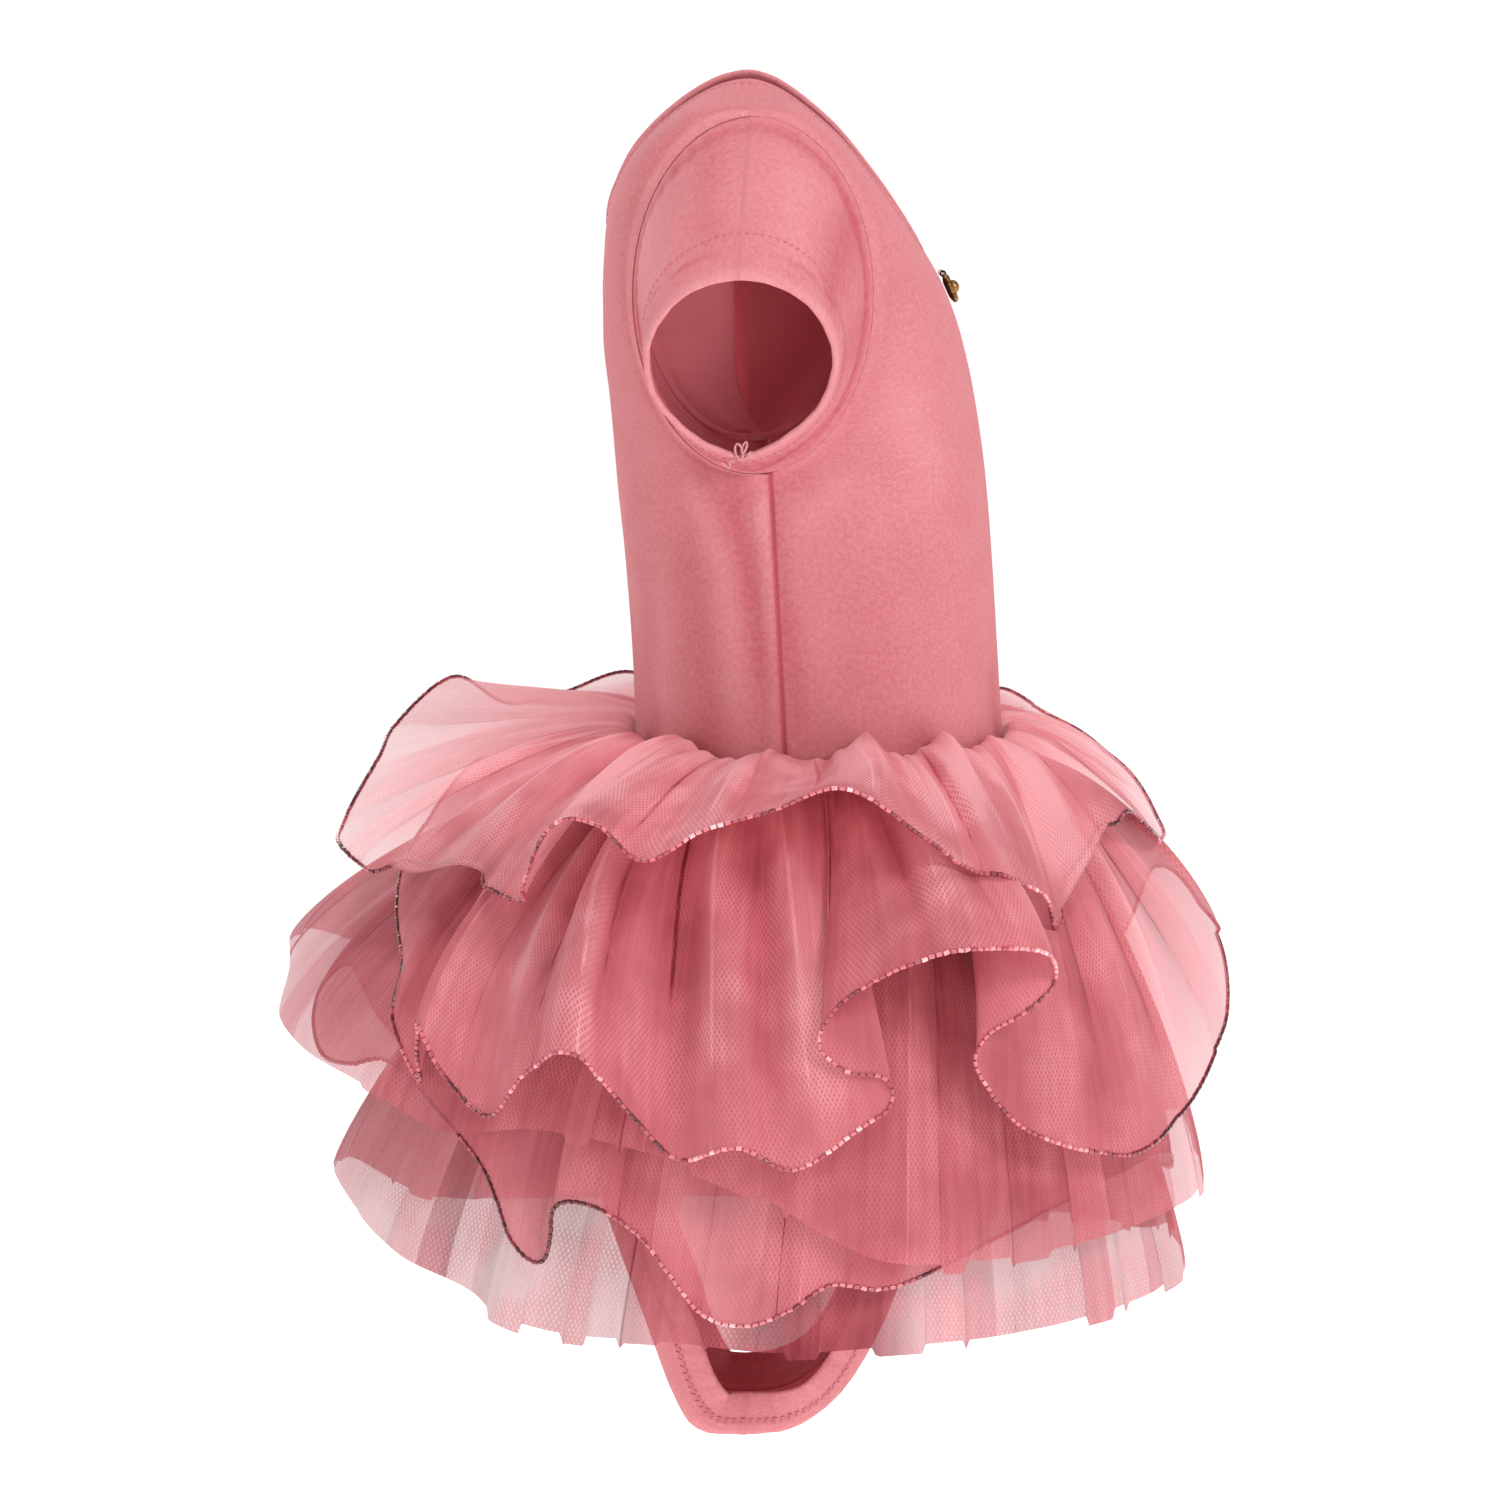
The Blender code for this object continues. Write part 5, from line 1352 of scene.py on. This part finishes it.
def evenRing(track, extra, pitch):
    # places at even steps round a closed line, with the line's way and extra rows there
    closed = np.concatenate([track, track[:1]])
    length = lengthAlong(closed)
    count = int(round(length[-1] / pitch))
    places = (np.arange(count) + 0.5) * length[-1] / count
    rows = np.concatenate([closed, np.concatenate([extra, extra[:1]])], axis=1)
    values = np.stack([np.interp(places, length, column) for column in rows.T], axis=1)
    step = pitch * 0.3
    ahead = np.stack([np.interp((places + step) % length[-1], length, column) for column in closed.T], 1)
    behind = np.stack([np.interp((places - step) % length[-1], length, column) for column in closed.T], 1)
    return values[:, :3], unit(ahead - behind), unit(values[:, 3:])


def rods(name, centres, along, up, profile, sides, tones=None):
    # short rods: rings of the profile (place along, radius) about each centre, with end caps
    across = unit(np.cross(along, up))
    up = np.cross(across, along)
    profile = np.array(profile, float)
    angle = np.linspace(0, 2 * np.pi, sides, endpoint=False)
    ring = across[:, None] * np.cos(angle)[:, None] + up[:, None] * np.sin(angle)[:, None]
    points = (centres[:, None, None] + along[:, None, None] * profile[:, 0][:, None, None]
              + ring[:, None] * profile[:, 1][:, None, None])
    own = len(profile) * sides
    base = np.arange(len(centres))[:, None, None] * own
    skin = (gridFaces(len(profile), sides, True)[None] + base).reshape(-1, 4)
    first = np.arange(sides)[::-1][None] + base[:, 0]
    last = np.arange(sides)[None] + own - sides + base[:, 0]
    values = {} if tones is None else {"tone": np.repeat(tones, own)}
    obj = newPiece(name, points, skin.tolist() + first.tolist() + last.tolist(), values)
    obj.data.set_sharp_from_angle(angle=sharpAngle)
    return obj


def tube(name, track, radius, sides, closed):
    # round tube along a line
    ahead = np.roll(track, -1, axis=0) - np.roll(track, 1, axis=0)
    if not closed:
        ahead = np.gradient(track, axis=0)
    ahead = unit(ahead)
    guide = np.where(np.abs(ahead[:, 2:]) > 0.9, (1.0, 0.0, 0.0), (0.0, 0.0, 1.0))
    across = unit(np.cross(ahead, guide))
    up = np.cross(across, ahead)
    angle = np.linspace(0, 2 * np.pi, sides, endpoint=False)[None, :, None]
    grid = track[:, None] + radius * (across[:, None] * np.cos(angle) + up[:, None] * np.sin(angle))
    return putMesh(name, grid, gridFaces(*grid.shape[:2], True, closed), {})


beadWork = {
    "pitch": 2.55, "pastHem": 0.3, "sides": 8,
    # place along in mm and radius of a bugle's rings
    "bugle": [(-1.05, 0.45), (-0.95, 0.76), (0.95, 0.76), (1.05, 0.45)],
    "cordRadius": 0.42, "cordSides": 6,
    "runs": 0.12, "strays": 0.42,       # how far the tone swings in runs and bead by bead
    # turn and mean tone along each beaded hem, dark to light: painted light, lighter where the hem is lit
    # from the front and darker towards the outlines where it is backlit
    "tones": {
        "tierTop": [(0, 0.5), (60, 0.4), (150, 0.3), (190, 0.2), (228, 0.28), (240, 0.6), (252, 0.72),
                    (262, 0.6), (275, 0.7), (285, 0.5), (300, 0.55), (325, 0.35), (345, 0.3)],
        "tierMiddle": [(0, 0.35), (60, 0.5), (150, 0.35), (190, 0.2), (212, 0.3), (224, 0.65),
                       (232, 0.35), (242, 0.72), (250, 0.4), (256, 0.75), (266, 0.72), (276, 0.6),
                       (286, 0.75), (298, 0.6), (306, 0.62), (316, 0.25), (335, 0.15)],
        "tierLower": [(0, 0.45), (90, 0.5), (170, 0.2), (205, 0.12), (237, 0.15), (244, 0.45),
                      (250, 0.7), (262, 0.68), (275, 0.6), (300, 0.4)],
    },
}


def beadTones(count, turn, table, seed):
    # the mean tone at each place, painted light from the table, with runs of one colour and strays among them
    order = np.arange(count, dtype=float)
    run = np.sin(order * 0.31 + seed) + 0.7 * np.sin(order * 0.117 + 2.1 * seed)
    rows = np.array(table, float)
    mean = np.interp(turn, rows[:, 0], rows[:, 1], period=360)
    look = beadWork
    return np.clip(mean + look["runs"] * run + look["strays"] * (scatter(order, seed) - 0.5), 0, 1)


def addBeads():
    # each bead leans a little from the hem's line, by two unlike waves along it
    look = beadWork
    made = {}
    for index, tier in enumerate(tiers):
        name = tier["name"]
        if name not in look["tones"]:
            continue
        grid, normal = tierPieces[index][1:]
        hem = grid[-1] + unit(grid[-1] - grid[-2]) * look["pastHem"]
        centres, along, up = evenRing(hem, normal[-1], look["pitch"])
        order = np.arange(len(centres))
        lean = 0.16 * np.sin(order * 1.7 + index) + 0.1 * np.sin(order * 4.1)
        along = unit(along + np.cross(up, along) * lean[:, None])
        turn = np.degrees(np.arctan2(centres[:, 0], skirt["axisY"] - centres[:, 1])) % 360
        tones = beadTones(len(centres), turn, look["tones"][name], index + 1.0)
        beads = rods(name + "Beads", centres, along, up, look["bugle"], look["sides"], tones)
        cord = tube(name + "Cord", hem, look["cordRadius"], look["cordSides"], True)
        made[index] = [finishPiece(beads, glassBead), finishPiece(cord, cordThread)]
    return made


beadParts = addBeads()
print("beads ready")

stitches = {
    # place along in mm and radius of a stitch's rings
    "rod": [(-0.85, 0.14), (-0.6, 0.24), (0.6, 0.24), (0.85, 0.14)], "sides": 6,
    # distance from the edge, spacing, height off the cloth, degrees turned, length
    "sleeveHem": (8.6, 2.6, 0.05, 9, 0.8),
    "CoverStitch": (2.4, 2.8, 0.25, 78, 1.1),
    "NeedleLine": (4.0, 2.8, 0.1, 0, 0.95),
    "neckline": (-1.6, 2.6, 0.1, 0, 0.8),
}


def stitchRow(name, track, normal, row):
    # thread stitches laid on the cloth, each turned from the line by an angle
    pitch, lift, turn, long = stitches[row][1:]
    centres, along, up = evenRing(track + normal * lift, normal, pitch)
    angle = math.radians(turn)
    along = unit(along * math.cos(angle) + np.cross(up, along) * math.sin(angle))
    profile = [(place * long, radius) for place, radius in stitches["rod"]]
    obj = rods(name, centres, along, up, profile, stitches["sides"])
    return finishPiece(obj, seamThread)


def addStitches():
    # one row round each sleeve hem and the neckline, two round each leg
    made = {}
    for name, grid, normal, toHem in (("sleeveRight", rightGrid, rightNormal, rightToHem),
                                      ("sleeveLeft", leftGrid, leftNormal, leftToHem)):
        # the row of the sleeve's grid that lies nearest to the stitches' place
        row = int(np.argmin(np.abs(toHem.mean(axis=1) - stitches["sleeveHem"][0])))
        made[name] = [stitchRow(name + "Stitches", grid[row], normal[row], "sleeveHem")]
    for name, side in (("legBandRight", -1), ("legBandLeft", 1)):
        edge, normal, outward = bandFrame(legLoop(side))
        made[name] = [stitchRow(name + row, edge + outward * stitches[row][0], normal, row)
                      for row in ("CoverStitch", "NeedleLine")]
    edge, normal, outward = bandFrame(neckLoop())
    made["neckBand"] = [stitchRow("neckBandStitches", edge + outward * stitches["neckline"][0], normal,
                                  "neckline")]
    return made


stitchParts = addStitches()
print("stitches ready")


# the thread tail under the right arm and the charm

tail = {
    "radius": 0.42, "sides": 6, "points": 40,
    # offset of each loop from the underarm point of the hem, then radius and way of its sine
    # and of its cosine
    "loops": [((-1.2, 0.6, 2.8), 1.3, (0.1, 1.0, 0.2), 2.6, (0.1, 0.15, 1.0)),
              ((-1.4, -1.2, 4.2), 0.8, (0.2, 1.0, -0.3), 1.8, (0.2, -0.3, 1.0))],
    # offset of each end, its run for each turn, then turns of the sine on it and its height
    "ends": [((-1.0, 2.2, -1.0), (0.0, 0.64, -0.2), 1.3, (0.3, 0.5, 1.1)),
             ((-0.9, 1.2, 0.2), (0.05, -1.0, 0.35), 1.7, (0.3, 0.2, 0.7))],
}


def addThreadTail():
    # a snagged end of overlock thread: closed loops of a sine and a cosine, and two open
    # ends that wave along a line
    look = tail
    t = np.linspace(0, 2 * np.pi, look["points"], endpoint=False)[:, None]
    low = rightGrid[-1][np.argmin(rightGrid[-1][:, 2])]
    lines = [(low + offset + wide * np.sin(t) * wideWay + tall * np.cos(t) * tallWay, True)
             for offset, wide, wideWay, tall, tallWay in look["loops"]]
    lines += [(low + offset + t * run + np.sin(t * turns) * height, False)
              for offset, run, turns, height in look["ends"]]
    made = []
    for index, (track, closed) in enumerate(lines):
        piece = tube("threadTail%d" % (index + 1), track, look["radius"], look["sides"], closed)
        made.append(finishPiece(piece, loopThread))
    return made


threadTail = addThreadTail()

charm = {
    "z": -76.0, "seat": 0.35, "span": 12.0, "petals": 6, "around": 96,
    # height off the cloth, radius, depth of the petals
    "profile": [(0.0, 2.6, 0.0), (0.35, 3.9, 0.25), (0.7, 4.7, 0.45), (1.2, 5.1, 0.6), (1.7, 5.2, 0.65),
                (2.2, 4.95, 0.65), (2.7, 4.45, 0.6), (2.95, 3.9, 0.5), (2.85, 3.3, 0.3), (2.75, 2.8, 0.1),
                (3.0, 2.45, 0.0), (3.5, 2.3, 0.0), (4.0, 2.0, 0.0), (4.45, 1.45, 0.0), (4.75, 0.8, 0.0),
                (4.85, 0.15, 0.0)],
    "rubHeight": 5.5, "rubPetal": 0.25,     # how the rises are rubbed, by height and by petal
    # place up the chest and out from it, radius, wire
    "bail": (5.7, 1.35, 0.85, 0.36), "threadWire": 0.22,
}


def makeCharm():
    # radius + petal * (|cos(3 angle)|^0.8 * 2 - 1) carried up the profile, then a small bail
    look = charm
    line = frontHalf[0][leotard["neckRows"]:, 0]
    half = look["span"] / 2
    centreY, upperY, lowerY = (np.interp(-look["z"] + d, -line[:, 2], line[:, 1]) for d in (0, -half, half))
    along = unit(np.array((0, upperY - lowerY, look["span"])))
    out = np.cross(along, (1.0, 0, 0))
    out = -out * np.sign(out[1])
    seat = np.array((0, centreY, look["z"])) + out * look["seat"]
    angle = np.linspace(0, 2 * np.pi, look["around"], endpoint=False)[None, :, None]
    table = np.array(look["profile"])[:, None, :]
    lobe = 2 * np.abs(np.cos(look["petals"] / 2 * angle)) ** 0.8 - 1
    radius = table[:, :, 1:2] + table[:, :, 2:] * lobe
    grid = (seat + out * table[:, :, :1]
            + radius * (np.cos(angle) * np.array((1.0, 0, 0)) + np.sin(angle) * along))
    rise = table[:, :, 0] / look["rubHeight"] + look["rubPetal"] * table[:, :, 2] * lobe[:, :, 0]
    count = look["around"]
    faces = gridFaces(len(grid), count, True).tolist()
    faces += [list(range(count))[::-1], list(range((len(grid) - 1) * count, len(grid) * count))]
    rosette = newPiece("rosetteCharm", grid, faces, {"rise": rise.ravel()})
    finishPiece(rosette, antiqueBrass, "charm")
    up, off, wide, wire = look["bail"]
    turn = np.linspace(0, 2 * np.pi, 28, endpoint=False)[:, None]
    centre = seat + along * up + out * off
    bail = tube("charmBail", centre + wide * (np.cos(turn) * along + np.sin(turn) * out), wire, 8, True)
    finishPiece(bail, antiqueBrass)
    # the thread runs through the bail and into the cloth
    loop = centre + 0.6 * along + 0.9 * np.cos(turn) * along - 0.8 * np.sin(turn) * out - out * 0.5
    finishPiece(tube("charmThread", loop, look["threadWire"], 6, True), seamThread)


makeCharm()
print("charm ready")
